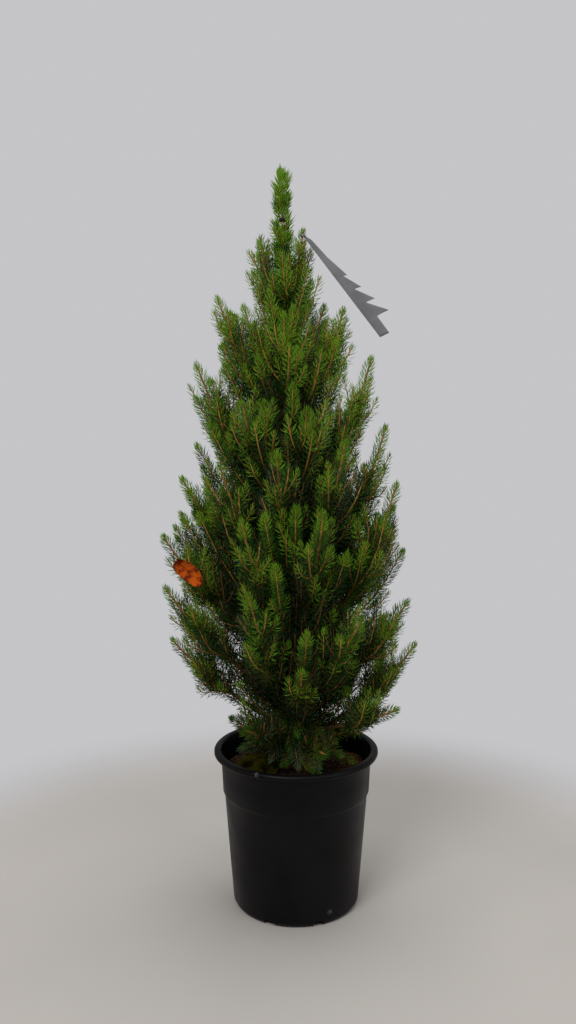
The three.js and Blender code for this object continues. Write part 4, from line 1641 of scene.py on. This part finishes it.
    def shaped(
        self, order: Array, index: Array, step: Array, away: Array, turn: Array
    ) -> tuple[Array, Array]:
        """Each needle's angle from its shoot, and its length.

        The angle closes towards the shoot's tip, up to a crest on it. Needles are shorter near the tip and on
        short shoots, and ragged on the leader.

        Args:
            order: what each needle's shoot is.
            index: each needle's shoot.
            step: its number on it.
            away: how far it is from the shoot's tip.
            turn: its angle round the shoot.

        Returns:
            The angles in radians, and the lengths.
        """
        rule = self.needle
        steep = np.where(np.isin(order, (*BEARERS, Order.LEADER)), rule.steep, 1.0)
        lean = mix(rule.lean[1], rule.lean[0] * steep, smooth(0, rule.lean_within, away))
        lean = lean + rule.lean_chance * jitter(step * 1.9 + index * 0.3)
        crest = rule.crest_chance[0] + rule.crest_chance[1] * jitter(step)
        size = rule.length * (rule.length_chance[0] + rule.length_chance[1] * jitter(step * 0.53 + index))
        size = size * mix(rule.shorter, 1.0, smooth(0, rule.shorter_within, away))
        wave = np.sin(away * rule.ragged_wave[0] + rule.ragged_wave[1] * np.sin(turn))
        ragged = rule.ragged[0] + rule.ragged[1] * wave + rule.ragged[2] * jitter(step * 0.31)
        size = size * np.select([order == Order.LEADER, order == Order.SECOND], [ragged, rule.finer], 1.0)
        return np.where(away < rule.crest, crest, lean), size

    def needles(self, shoots: Shoots) -> None:
        """Makes the needles: spindles set round each shoot by the golden angle, leaning towards its tip.

        The outer part of each is bent forwards. A needle that would stand outside the outline or in another
        piece is left out.

        Args:
            shoots: all the shoots.
        """
        rule = self.needle
        index, step, share = self.standing(shoots)
        away = (1 - share) * shoots.lengths()[index]
        controls, order = shoots.controls[index], shoots.order[index]
        point, heading = curve(controls, share), curve_heading(controls, share)
        flat = shoots.binormals()[index]
        turn = step * GOLDEN_ANGLE + rule.twist * jitter(index * 0.19)
        out = flat * np.cos(turn)[:, None] + np.cross(heading, flat) * np.sin(turn)[:, None]
        across = np.cross(heading, out)
        lean, size = (values[:, None] for values in self.shaped(order, index, step, away, turn))
        low, high = lean + rule.curl, lean - rule.curl
        thick = mix(shoots.radii[index, 0], shoots.radii[index, 1], share)[:, None]
        base = point + out * thick * rule.seat
        inner = heading * np.cos(low) + out * np.sin(low) + UP * rule.lift[0]
        outer = heading * np.cos(high) + out * np.sin(high) + UP * rule.lift[1]
        middle = base + inner * size * rule.widest
        tip = middle + outer * size * (1 - rule.widest)
        free = self.crown.clear(tip, rule.slack) & self.crown.clear(middle, rule.slack)
        tones = self.tones(shoots, index, away)
        kinds = [np.isin(order, (Order.LEADER, Order.TUFT)), np.isin(order, BEARERS)]
        stout = np.select(kinds, list(rule.stout), 1.0)
        most = MOST_TRIANGLES // SPINDLE_TRIANGLES
        for place, tone in enumerate(Tone):
            mine = np.flatnonzero(free & (tones == place))
            for part in range(0, len(mine), most):
                some = mine[part : part + most]
                # painted shade: near-black, thicker needles for the crown's inside
                wide = stout[some] * (rule.painted_shade_radius if tone is Tone.PAINTED_SHADE else rule.radius)
                surface = spindles(base[some], middle[some], tip[some], across[some], wide)
                name = f"needles_{tone.name.lower()}_{part // most + 1}"
                piece(name, surface, tone.value, foliage_nodes(self.crown), soft=False)

    def build(self) -> None:
        """Makes the twigs, young where they are lively, a bud on each lively tip, and the needles."""
        shoots = self.shoots()
        twig = ~np.isin(shoots.order, (Order.STEM, Order.LEADER))
        lively = self.life(shoots) > self.alive.young
        young = lively & (shoots.order != Order.FOOT)
        self.wood(shoots.chosen(twig & young), "young_twigs", TWIG)
        self.wood(shoots.chosen(twig & ~young), "old_twigs", STEM)
        tips = shoots.chosen(lively & (shoots.order != Order.LEADER))
        ones = np.ones(len(tips))
        heading = curve_heading(tips.controls, ones)
        base = curve(tips.controls, ones) - heading
        middle, end, radius = self.bud
        buds = spindles(base, base + heading * middle, base + heading * end, tips.binormals(), radius)
        piece("buds", buds, BUD, [])
        self.needles(shoots)


# Pot and what fills it


@dataclass
class Pot:
    """The round nursery pot: tapered wall, small step, straight collar and thick rounded lip.

    The foot, the step and the collar are each a radius and a height on the outside.
    """

    underside: float = 90.0
    recess: float = 1.2
    foot: Pair = (94.0, 6.0)
    step: Pair = (106.5, 168.0)
    collar: Pair = (109.0, 172.0)
    lip: float = 122.0
    lip_depth: float = 9.0
    rounding: float = 3.5
    mouth: float = 3.0
    wall: float = 2.2
    floor: float = 3.0
    sides: int = 160
    drains: int = 8
    drain_size: Triple = (20.0, 15.0, 14.0)
    drain_place: float = 95.0
    first_angle: float = 0.35
    crease: float = 38.0

    @staticmethod
    def arc(centre: Pair, radius: float, start: float, end: float, steps: int = 6) -> Array:
        """Points on an arc of the profile, by angle in degrees from outwards to upwards."""
        angle = np.radians(np.linspace(start, end, steps))
        return np.stack([centre[0] + radius * np.cos(angle), centre[1] + radius * np.sin(angle)], 1)

    def profile(self) -> Array:
        """The wall's outline: up the outside, over the lip by arcs, down the inside and in over the floor.

        Each corner is two or three points a fraction of a millimetre apart, so that it catches the light.

        Returns:
            Rows of radius and height.
        """
        under, edge, inner = POT_HEIGHT - self.lip_depth, self.rounding, POT_NECK - self.wall
        (foot, low), (step, high), (collar, top), base = self.foot, self.step, self.collar, self.underside
        outside = [
            (0, self.recess), (base * 0.82, self.recess), (base * 0.84, 0), (base - 1, 0), (base, 0.4),
            (foot - 0.5, low - 0.6), (foot, low + 0.8),
            *((mix(foot, step, share), mix(low, high, share)) for share in (0.33, 0.66)),
            (step - 0.1, high - 0.8), (step + 0.5, high + 0.4), (collar - 0.6, top - 0.7),
            (collar, top + 0.6), (mix(collar, POT_NECK, 0.5), mix(top, under, 0.5)),
            (POT_NECK - 0.1, under - 2.4),
            (POT_NECK + 0.5, under - 0.9), (POT_NECK + 2.0, under - 0.1), (self.lip - edge, under + 0.1),
        ]
        outer = self.arc((self.lip - edge, under + edge + 0.1), edge, -75, 0)
        upper = self.arc((self.lip - edge, POT_HEIGHT - edge), edge, 0, 90)
        mouth = self.arc((POT_NECK + self.mouth, POT_HEIGHT - self.mouth), self.mouth, 90, 170)
        inside = [
            (inner + 0.4, POT_HEIGHT - 9), (inner, POT_HEIGHT - 20), (collar - self.wall, top),
            (step - self.wall, high), (foot - self.wall, low + self.floor), (base - self.wall, self.floor),
            (0, self.floor),
        ]
        return np.concatenate([outside, outer, upper, mouth, inside])

    def cutters(self) -> Surface:
        """The drain slots as blocks set round the foot, each corner turned by x cos a - y sin a and so on.

        Returns:
            All the blocks.
        """
        angle = (self.first_angle + round_angles(self.drains))[:, None]
        depth, width, height = (0.5 * size for size in self.drain_size)
        corner = np.array([(1, 1), (-1, 1), (-1, -1), (1, -1)])
        along, aside = self.drain_place + depth * corner[:, 0], width * corner[:, 1]
        x = along * np.cos(angle) - aside * np.sin(angle)
        y = along * np.sin(angle) + aside * np.cos(angle)
        z = np.broadcast_to(np.array([-height, height])[:, None], (self.drains, 2, 4))
        rings = np.stack([*(np.repeat(flat[:, None], 2, 1) for flat in (x, y)), z], -1)
        middle = rings.mean(2)
        return tubes(rings, middle[:, 0], middle[:, 1])

    def build(self) -> None:
        """Makes the pot, its profile turned by x = r cos a and y = r sin a, and cuts its drain slots."""
        profile, angle = self.profile(), round_angles(self.sides)
        x, y = profile[:, :1] * np.cos(angle), profile[:, :1] * np.sin(angle)
        rings = np.stack([x, y, np.repeat(profile[:, 1:], self.sides, 1)], -1)
        start, end = (np.array([[0, 0, profile[row, 1]]]) for row in (0, -1))
        obj = piece("pot_shell", tubes(rings[None, 1:-1], start, end), PLASTIC, ["pot"])
        blocks = placed("drain_blocks", self.cutters().mesh("drain_blocks", False))
        cut = obj.modifiers.new("drains", "BOOLEAN")
        cut.operation = "DIFFERENCE"
        cut.solver = "EXACT"
        cut.object = blocks
        bpy.context.view_layer.update()
        evaluated = obj.evaluated_get(bpy.context.evaluated_depsgraph_get())
        made = bpy.data.meshes.new_from_object(evaluated)
        obj.modifiers.clear()
        obj.data = made
        bpy.data.objects.remove(blocks)
        made.shade_smooth()
        made.set_sharp_from_angle(angle=math.radians(self.crease))


@dataclass
class Soil:
    """The potting soil with its crumbs and fallen needles.

    The flats are the distances from the trunk's foot and from the moss over which the soil starts to sink.
    """

    pot: Pot
    hollow: float = 7.0
    trunk_flat: Pair = (24.0, 49.0)
    moss_flat: Pair = (10.0, 38.0)
    grain: Triple = (7.0, 4.2, 0.52)
    clearance: float = 1.2
    sides: int = 220
    rings: int = 74
    disc: float = 104.0
    crumbs: int = 3200
    crumb: Pair = (0.7, 2.6)
    litter: int = 420
    fallen: Pair = (6.0, 0.55)
    drift: int = 420
    drift_place: Pair = (85.0, 24.0)
    drift_spread: Pair = (9.0, 14.0)
    drift_edge: float = 101.0
    drift_lift: Pair = (1.5, 7.0)
    drifted: Pair = (4.5, 0.7)

    def height(self, x: Array, y: Array) -> Array:
        """The soil's level: hollows by crossed waves away from trunk and moss, under fine layered noise.

        Args:
            x: place to the right.
            y: place to the back.

        Returns:
            The level at each place.
        """
        by_trunk = smooth(*self.trunk_flat, np.hypot(x, y))
        by_moss = smooth(*self.moss_flat, np.hypot(x - MOSS_PLACE[0], y - MOSS_PLACE[1]))
        waves = np.sin(x * 0.071 + 1.3) * np.cos(y * 0.083 - 0.4) + 0.5 * np.sin((x + y) * 0.13)
        broad = SOIL_TOP - self.hollow * by_trunk * by_moss * (0.5 + waves / 3)
        cell, depth, middle = self.grain
        return broad + depth * (layered(x / cell, y / cell, 21, 4) - middle) - 0.4

    def body(self) -> Surface:
        """The soil as a closed plug: a plain wall and a lumpy top worked out ring by ring.

        Returns:
            The plug.
        """
        pot, angle = self.pot, round_angles(self.sides)[None]
        inner, foot = pot.wall + self.clearance, pot.floor + GAP
        edge = mix(pot.collar[0], POT_NECK, 0.55) - inner
        wall = [
            (pot.underside - inner - 3, foot), (pot.foot[0] - inner, pot.foot[1] + pot.floor + 2),
            (pot.step[0] - inner, pot.step[1]), (pot.collar[0] - inner, pot.collar[1] + 2),
            (edge, SOIL_TOP - 9),
        ]
        radius = np.concatenate([[r for r, _ in wall], np.linspace(edge, 1.5, self.rings)])[:, None]
        x, y = radius * np.cos(angle), radius * np.sin(angle)
        z = self.height(x, y)
        z[: len(wall)] = np.array([h for _, h in wall])[:, None]
        top = float(self.height(np.zeros(1), np.zeros(1))[0])
        ends = (np.array([[0, 0, level]]) for level in (foot, top))
        return tubes(np.stack([x, y, z], -1)[None], *ends)

    def scattered(self, count: int, seed: int) -> tuple[Array, np.random.Generator]:
        """Points on the soil, evenly spread over its disc: a radius by the root of chance and any angle.

        Args:
            count: number of points.
            seed: seed of the chance.

        Returns:
            The points, and the source of chance that placed them.
        """
        chance = np.random.default_rng(seed)
        radius = self.disc * np.sqrt(chance.random(count))
        angle = 2 * np.pi * chance.random(count)
        x, y = radius * np.cos(angle), radius * np.sin(angle)
        return np.stack([x, y, self.height(x, y)], 1), chance

    def rods(self, name: str, place: Array, axis: Array, across: Array, size: Pair) -> None:
        """Makes one piece of brown needles that lie on the soil, of half a length and a radius."""
        surface = spindles(place - axis * size[0], place, place + axis * size[0], across, size[1])
        piece(name, surface, LITTER, [], soft=False)

    def build(self) -> None:
        """Makes the soil, its crumbs, the dropped needles and their drift against the pot's wall.

        The drift's places are spread by a normal law and piled up in its middle.
        """
        piece("soil_body", self.body(), EARTH, ["soil"])
        place, chance = self.scattered(self.crumbs, 4)
        size = mix(*self.crumb, chance.random(len(place)) ** 2.4)[:, None]
        axis = unit(chance.normal(size=(len(place), 3)))
        across = unit(np.cross(axis, unit(chance.normal(size=(len(place), 3)))))
        crumbs = spindles(place - axis * size, place, place + axis * size, across, size[:, 0] * 0.9)
        piece("soil_crumbs", crumbs, CRUMB, [], soft=False)
        place, chance = self.scattered(self.litter, 5)
        turn = 2 * np.pi * chance.random(len(place))
        axis = unit(np.stack([np.cos(turn), np.sin(turn), chance.normal(0, 0.12, len(place))], 1))
        self.rods("fallen_needles", place + UP * 1.2, axis, unit(np.cross(axis, UP)), self.fallen)
        chance = np.random.default_rng(12)
        spread = chance.normal(0, 1, (self.drift, 3))
        x, y = (self.drift_place[k] + self.drift_spread[k] * spread[:, k] for k in (0, 1))
        keep = np.hypot(x, y) < self.drift_edge
        x, y, pile = x[keep], y[keep], np.exp(-(spread[keep, 1] ** 2))
        least, most = self.drift_lift
        lift = least + most * chance.random(keep.sum()) * pile
        place = np.stack([x, y, self.height(x, y) + lift], 1)
        axis = unit(chance.normal(size=place.shape) * (1, 1, 0.35))
        self.rods("needle_drift", place, axis, unit(np.cross(axis, (0.31, 0.2, 0.93))), self.drifted)


@dataclass
class Moss:
    """The low cushion of moss on the soil: a mound under short leafy threads."""

    base: float = SOIL_TOP + GAP
    radius: float = 28.0
    height: float = 18.0
    stretch: Pair = (1.15, 0.8)
    uneven: float = 0.16
    lumps: Triple = (11.0, 9.0, 0.62)
    mesh: tuple[int, int] = (26, 72)
    threads: int = 8600
    thread: Triple = (3.0, 10.0, 0.45)

    def at(self, out: Array, angle: Array) -> Array:
        """A point on the mound: out by a share, up by a power of 1 - share^2, with lumps.

        Args:
            out: share of the radius.
            angle: angle round the middle.

        Returns:
            The points.
        """
        uneven = 1 + self.uneven * (layered(np.cos(angle) * 2 + 5, np.sin(angle) * 2 + 5, 9, 3) - 0.5)
        x = MOSS_PLACE[0] + self.radius * out * uneven * np.cos(angle) * self.stretch[0]
        y = MOSS_PLACE[1] + self.radius * out * uneven * np.sin(angle) * self.stretch[1]
        cell, depth, middle = self.lumps
        lumps = depth * (layered(x / cell, y / cell, 31, 3) - middle) * (1 - out**4)
        z = self.base + self.height * np.maximum(1 - out**2, 0) ** 0.7 + lumps
        return np.stack([x, y, np.maximum(z, self.base)], -1)

    def build(self) -> None:
        """Makes the mound and its threads."""
        out = np.linspace(1, 0.04, self.mesh[0])[:, None]
        angle = round_angles(self.mesh[1])[None]
        rings = self.at(out + 0 * angle, angle + 0 * out)
        middle = np.array([[*MOSS_PLACE, self.base]])
        top = self.at(np.zeros(1), np.zeros(1))
        piece("moss_mound", tubes(rings[None], middle, top), MOSSY, ["moss_cushion"])
        chance = np.random.default_rng(11)
        out = np.sqrt(chance.random(self.threads)) * 0.98
        root = self.at(out, 2 * np.pi * chance.random(self.threads))
        axis = unit(chance.normal(0, 0.6, (self.threads, 3)) + UP)
        shortest, longest, radius = self.thread
        size = mix(shortest, longest, chance.random(self.threads) ** 2)[:, None]
        across = unit(np.cross(axis, (0.3, 0.8, 0.1)))
        threads = spindles(root - axis * 0.8, root + axis * size * 0.45, root + axis * size, across, radius)
        piece("moss_threads", threads, MOSSY, ["moss_cushion"], soft=False)


# Band, tag and dead leaf


@dataclass
class Band:
    """The dark band wound twice round the leader."""

    crown: Crown
    winding: float = 3.9
    thick: Pair = (1.0, 1.55)
    turns: float = 2.15
    pitch: float = 2.5
    tight: float = 0.6
    end: float = 0.04
    end_share: float = 0.4
    mesh: tuple[int, int] = (70, 8)

    def build(self) -> None:
        """Makes the band: an oval section carried along a tight helix."""
        share = np.linspace(0, 1, self.mesh[0])[:, None]
        turn = 2 * np.pi * self.turns * share
        centre = self.crown.trunk.centre(BAND_LEVEL)
        out = np.concatenate([np.cos(turn), np.sin(turn), 0 * turn], 1)
        path = centre + out * self.winding + UP * (share - 0.5) * self.pitch * self.turns * self.tight
        angle = round_angles(self.mesh[1])[None, :, None]
        rounded = smooth(0, self.end, share) * smooth(0, self.end, 1 - share)
        taper = (rounded * (1 - self.end_share) + self.end_share)[:, None]
        section = out[:, None] * np.cos(angle) * self.thick[0] + UP * np.sin(angle) * self.thick[1]
        rings = path[:, None] + section * taper
        piece("leader_band", tubes(rings[None, :, ::-1], path[:1], path[-1:]), RUBBER, ["leader_tie"])


@dataclass
class Tag:
    """The blank plant tag, half of a fir tree, hung by a loop from the shoot beside the leader."""

    crown: Crown
    length: float = 177.0
    thick: float = 0.8
    stem: Pair = (2.9, 2.4)
    shoulder: Pair = (44.5, 9.0)
    neck: Pair = (12.0, 6.0)
    foot: Pair = (180.0, 14.0)
    teeth: int = 4
    first_tooth: float = 81.0
    tooth_step: float = 24.5
    tooth: Pair = (16.0, 5.6)
    notch: Triple = (4.0, 10.5, 1.4)
    slant: float = 10.0
    bow: float = 0.35
    steps: int = 97
    loop: Triple = (1.9, 4.0, 4.0)
    loop_mesh: tuple[int, int] = (28, 10)

    def edges(self) -> tuple[Array, Array]:
        """Matching points of the toothed edge and of the straight edge, from the foot to the neck.

        Returns:
            The points of the toothed edge, then those of the straight one.
        """
        toothed, straight = [self.foot], [self.length]
        for number in reversed(range(self.teeth)):
            at = self.first_tooth + number * self.tooth_step
            toothed.append((at - self.notch[0], self.notch[1] + number * self.notch[2]))
            toothed.append((at, self.tooth[0] + number * self.tooth[1]))
            straight += [at - self.notch[0], at - self.slant]
        toothed += [self.shoulder, self.neck, self.stem]
        straight += [self.shoulder[0], self.neck[0], self.stem[0]]
        return np.array(toothed), np.stack([np.array(straight), np.zeros(len(straight))], 1)

    def place(self, flat: Array) -> Array:
        """Tag coordinates along, across and through, turned into place at the shoot."""
        return self.crown.tag_root + flat @ self.crown.tag_axes

    def plate(self) -> Surface:
        """The plate: a sheet between its two edges, bowed a little, with rounded rims on a thin wall.

        A point lies a share of the way from the straight edge to the toothed one. The bow is a sine along the
        tag, and the wall thins at either rim.

        Returns:
            The closed plate.
        """
        toothed, even = self.edges()
        place = np.arange(len(toothed))
        fine = np.unique(np.concatenate([np.linspace(0, len(toothed) - 1, self.steps), place]))
        outer, inner = (
            np.stack([np.interp(fine, place, edge[:, k]) for k in (0, 1)], 1) for edge in (toothed, even)
        )
        share = np.array([0, 0.004, 0.02, 0.25, 0.5, 0.75, 0.98, 0.996, 1])
        rise = np.array([0.35, 0.8, 1, 1, 1, 1, 1, 0.8, 0.35]) * (self.thick / 2)
        across = np.concatenate([share, share[::-1]])
        through = np.concatenate([rise, -rise[::-1]])
        flat = inner[:, None] + (outer - inner)[:, None] * across[None, :, None]
        bow = self.bow * np.sin(flat[..., 0] / self.length * np.pi)
        rings = np.concatenate([flat, (through[None] - bow)[..., None]], -1)
        ends = rings.mean(1)
        return tubes(self.place(rings)[None, :, ::-1], self.place(ends[:1]), self.place(ends[-1:]))

    def ring(self) -> Surface:
        """The loop: a rounded band round the shoot, an oval section carried round a circle.

        Returns:
            The closed loop.
        """
        inner, outer, tall = self.loop
        steps, sides = self.loop_mesh
        axis = self.crown.plumes[1].heading(np.array([self.crown.tag_share]))[0]
        side = unit(np.cross(axis, (0.0, 1.0, 0.0)))
        over = np.cross(axis, side)
        turn = round_angles(steps)[:, None, None]
        out = side * np.cos(turn) + over * np.sin(turn)
        angle = round_angles(sides)[None, :, None]
        radius = mix(inner, outer, 0.5) + 0.5 * (outer - inner) * np.cos(angle)
        points = self.crown.tag_root + out * radius + axis * np.sin(angle) * tall / 2
        last = (lattice_faces(2, sides, True) + (steps - 1) * sides) % (steps * sides)
        wrapped = np.concatenate([lattice_faces(steps, sides, True), last])
        return Surface(points.reshape(-1, 3), wrapped[:, ::-1])

    def build(self) -> None:
        """Makes the plate and its loop."""
        piece("tag_plate", Surface.joined([self.plate(), self.ring()]), CARD, ["plant_tag"])


@dataclass
class DeadLeaf:
    """The curled dead leaf that lies in the crown."""

    length: float = 50.0
    width: float = 25.0
    thick: float = 0.6
    thin_edge: float = 0.6
    cup: float = 5.0
    curl: float = 7.0
    fall: float = 41.0
    lean: float = 0.85
    fullness: float = 0.46
    ragged: float = 0.42
    midrib: Pair = (1.3, 0.07)
    veins: Triple = (9.0, 1.3, 0.35)
    vein_share: float = 1.8
    depth: float = 0.6
    crinkle: float = 2.6
    reach: Pair = (0.04, 0.96)
    mesh: tuple[int, int] = (60, 33)
    place: Triple = (-150.0, -67.4, 510.0)

    def sheet(self, share: Array, column: Array) -> Array:
        """The leaf's mid-surface at a share of its length and a column from -1 to 1 across it.

        Its half width is a sine of the share, it rises by the column squared and towards both ends, and it is
        creased along the midrib and, less, along slanting veins.

        Args:
            share: share of the length.
            column: place across.

        Returns:
            The points, flat on the leaf's own axes.
        """
        half = self.width / 2 * np.sin(np.pi * share**self.lean) ** self.fullness
        ragged = 1 + self.ragged * (layered(share * 3.4 + 1, column * 0.5 + 2.5, 5, 3) - 0.5)
        rise = self.cup * column**2 + self.curl * (2 * share - 1) ** 2
        count, slant, height = self.veins
        vein = height * np.cos((share * count - np.abs(column) * slant) * 2 * np.pi) * np.abs(column) ** 0.5
        crease = self.midrib[0] * np.exp(-((column / self.midrib[1]) ** 2)) + self.vein_share * vein
        crinkle = self.crinkle * (layered(share * 6 + 9, column * 3 + 9, 14, 3) - 0.5)
        x = (share - 0.5) * self.length
        return np.stack([x, half * column * ragged, rise - crease * self.depth + crinkle], -1)

    def build(self) -> None:
        """Makes the leaf as a thin closed shell, turned to hang in the crown."""
        rows, columns = self.mesh
        share = np.linspace(*self.reach, rows)[:, None]
        column = np.linspace(-1, 1, columns)
        both = np.concatenate([column, column[::-1]])[None]
        side = np.repeat((-0.5, 0.5), columns)[None]
        rings = self.sheet(share + 0 * both, both + 0 * share)
        rings[..., 2] += side * self.thick * (1 - self.thin_edge * np.abs(both) ** 6)
        ends = np.array([(-0.5 * self.length, 0, self.curl), (0.5 * self.length, 0, self.curl)])
        fall = math.radians(self.fall)
        upright = np.array([(1, 0, 0), (0, 0, 1), (0, -1, 0)])
        sine, cosine = math.sin(fall), math.cos(fall)
        turned = np.array([(cosine, 0, -sine), (0, 1, 0), (sine, 0, cosine)])
        rings, ends = (points @ upright @ turned + np.array(self.place) for points in (rings, ends))
        piece("dead_leaf_blade", tubes(rings[None], ends[:1], ends[1:]), LEAF, ["dry_leaf"])


# Stage


@dataclass
class Stage:
    """The plain floor, the soft lights and the camera at the photograph's angle.

    A light's row is its name, its place, the side of its square and its power. All look at one point.
    """

    camera_place: Triple = (-0.012, -1.378, 0.732)
    camera_pitch: float = 6.0
    lens: float = 33.43
    sensor: float = 36.0
    far: float = 50.0
    floor_colour: Colour = (0.42, 0.4, 0.385)
    floor_lighter: float = 1.06
    floor_fade: Pair = (0.46, 0.85)
    backdrop: Colour = (0.56, 0.56, 0.58)
    ambient: Colour = (0.3, 0.3, 0.3)
    looked_at: Triple = (0.0, 0.0, 0.55)
    light_colour: Colour = (1.0, 0.985, 0.95)
    lights: tuple[tuple[str, Triple, float, float], ...] = (
        ("key", (-0.9, -1.9, 2.2), 1.2, 46.0),
        ("fill", (1.6, -1.4, 1.4), 1.6, 12.0),
        ("top", (0.1, 0.4, 2.7), 1.4, 34.0),
    )

    def floor(self) -> None:
        """A pale floor, barely uneven, that fades into the backdrop by its distance from the middle."""
        corners = np.array([(-1, -1, 0), (1, -1, 0), (1, 1, 0), (-1, 1, 0)]) / MM
        obj = placed("floor", Surface(corners, np.array([(0, 1, 2, 3)])).mesh("floor", False))
        light = tuple(self.floor_lighter * value for value in self.floor_colour)
        finish = Finish("floor", self.floor_colour, light, (0.6, 0.7), 2.2, bump=0.05, gloss=0.2)
        material = finish.material()
        nodes = Nodes(material.node_tree)
        place = nodes.add("ShaderNodeTexCoord").outputs["Object"]
        out = nodes.add("ShaderNodeVectorMath", {0: place}, operation="LENGTH").outputs["Value"]
        limits = {"Value": out, "From Min": self.floor_fade[0], "From Max": self.floor_fade[1]}
        fade = nodes.add("ShaderNodeMapRange", limits, interpolation_type="SMOOTHSTEP")
        clear = nodes.add("ShaderNodeBsdfTransparent")
        shader = material.node_tree.nodes["Principled BSDF"]
        shares = {0: fade.outputs[0], 1: shader.outputs[0], 2: clear.outputs[0]}
        faded = nodes.add("ShaderNodeMixShader", shares)
        output = material.node_tree.nodes["Material Output"]
        material.node_tree.links.new(faded.outputs[0], output.inputs["Surface"])
        obj.data.materials.append(material)
        obj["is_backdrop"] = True

    def world(self) -> None:
        """A pale backdrop for the eye, and a softer glow that lights the plant from all round."""
        world = bpy.data.worlds.new("studio")
        bpy.context.scene.world = world
        world.use_nodes = True
        nodes = Nodes(world.node_tree)
        glow = world.node_tree.nodes["Background"]
        glow.inputs["Color"].default_value = (*self.ambient, 1)
        shown = nodes.add("ShaderNodeBackground", {"Color": (*self.backdrop, 1), "Strength": 1.0})
        seen = nodes.add("ShaderNodeLightPath").outputs["Is Camera Ray"]
        both = nodes.add("ShaderNodeMixShader", {0: seen, 1: glow.outputs[0], 2: shown.outputs[0]})
        world.node_tree.links.new(both.outputs[0], world.node_tree.nodes["World Output"].inputs["Surface"])

    def build(self) -> None:
        """Sets the floor, the world, the square soft lights and the camera, which is pitched down a little.

        A light is turned from straight down by the slope to its place and then by its compass angle.
        """
        self.floor()
        self.world()
        for name, place, size, power in self.lights:
            data = bpy.data.lights.new(name, "AREA")
            data.size, data.energy, data.color = size, power, self.light_colour
            obj = placed(name, data)
            obj.location = place
            away = np.array(place) - np.array(self.looked_at)
            slope = math.atan2(math.hypot(away[0], away[1]), away[2])
            obj.rotation_euler = (slope, 0, math.atan2(away[0], -away[1]))
        bpy.context.scene.view_settings.view_transform = "Standard"
        camera = bpy.data.cameras.new("camera")
        camera.lens = self.lens
        camera.sensor_width = self.sensor
        camera.sensor_fit = "AUTO"
        camera.clip_end = self.far
        obj = placed("camera", camera)
        obj.location = self.camera_place
        obj.rotation_euler = (math.radians(90 - self.camera_pitch), 0, 0)
        bpy.context.scene.camera = obj


def corners() -> list[list[float]]:
    """The shown object's lowest and highest corner as plain numbers."""
    return [[float(value) for value in corner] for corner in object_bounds()]


def main() -> None:
    """Builds the stage and every piece of the plant."""
    logging.basicConfig(level=logging.INFO, format="%(name)s: %(message)s")
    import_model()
    Stage().build()
    crown = Crown()
    pot = Pot()
    pot.build()
    Soil(pot).build()
    Moss().build()
    Bark(crown).build()
    Foliage(crown).build()
    Band(crown).build()
    Tag(crown).build()
    DeadLeaf().build()


if __name__ == "__main__":
    main()
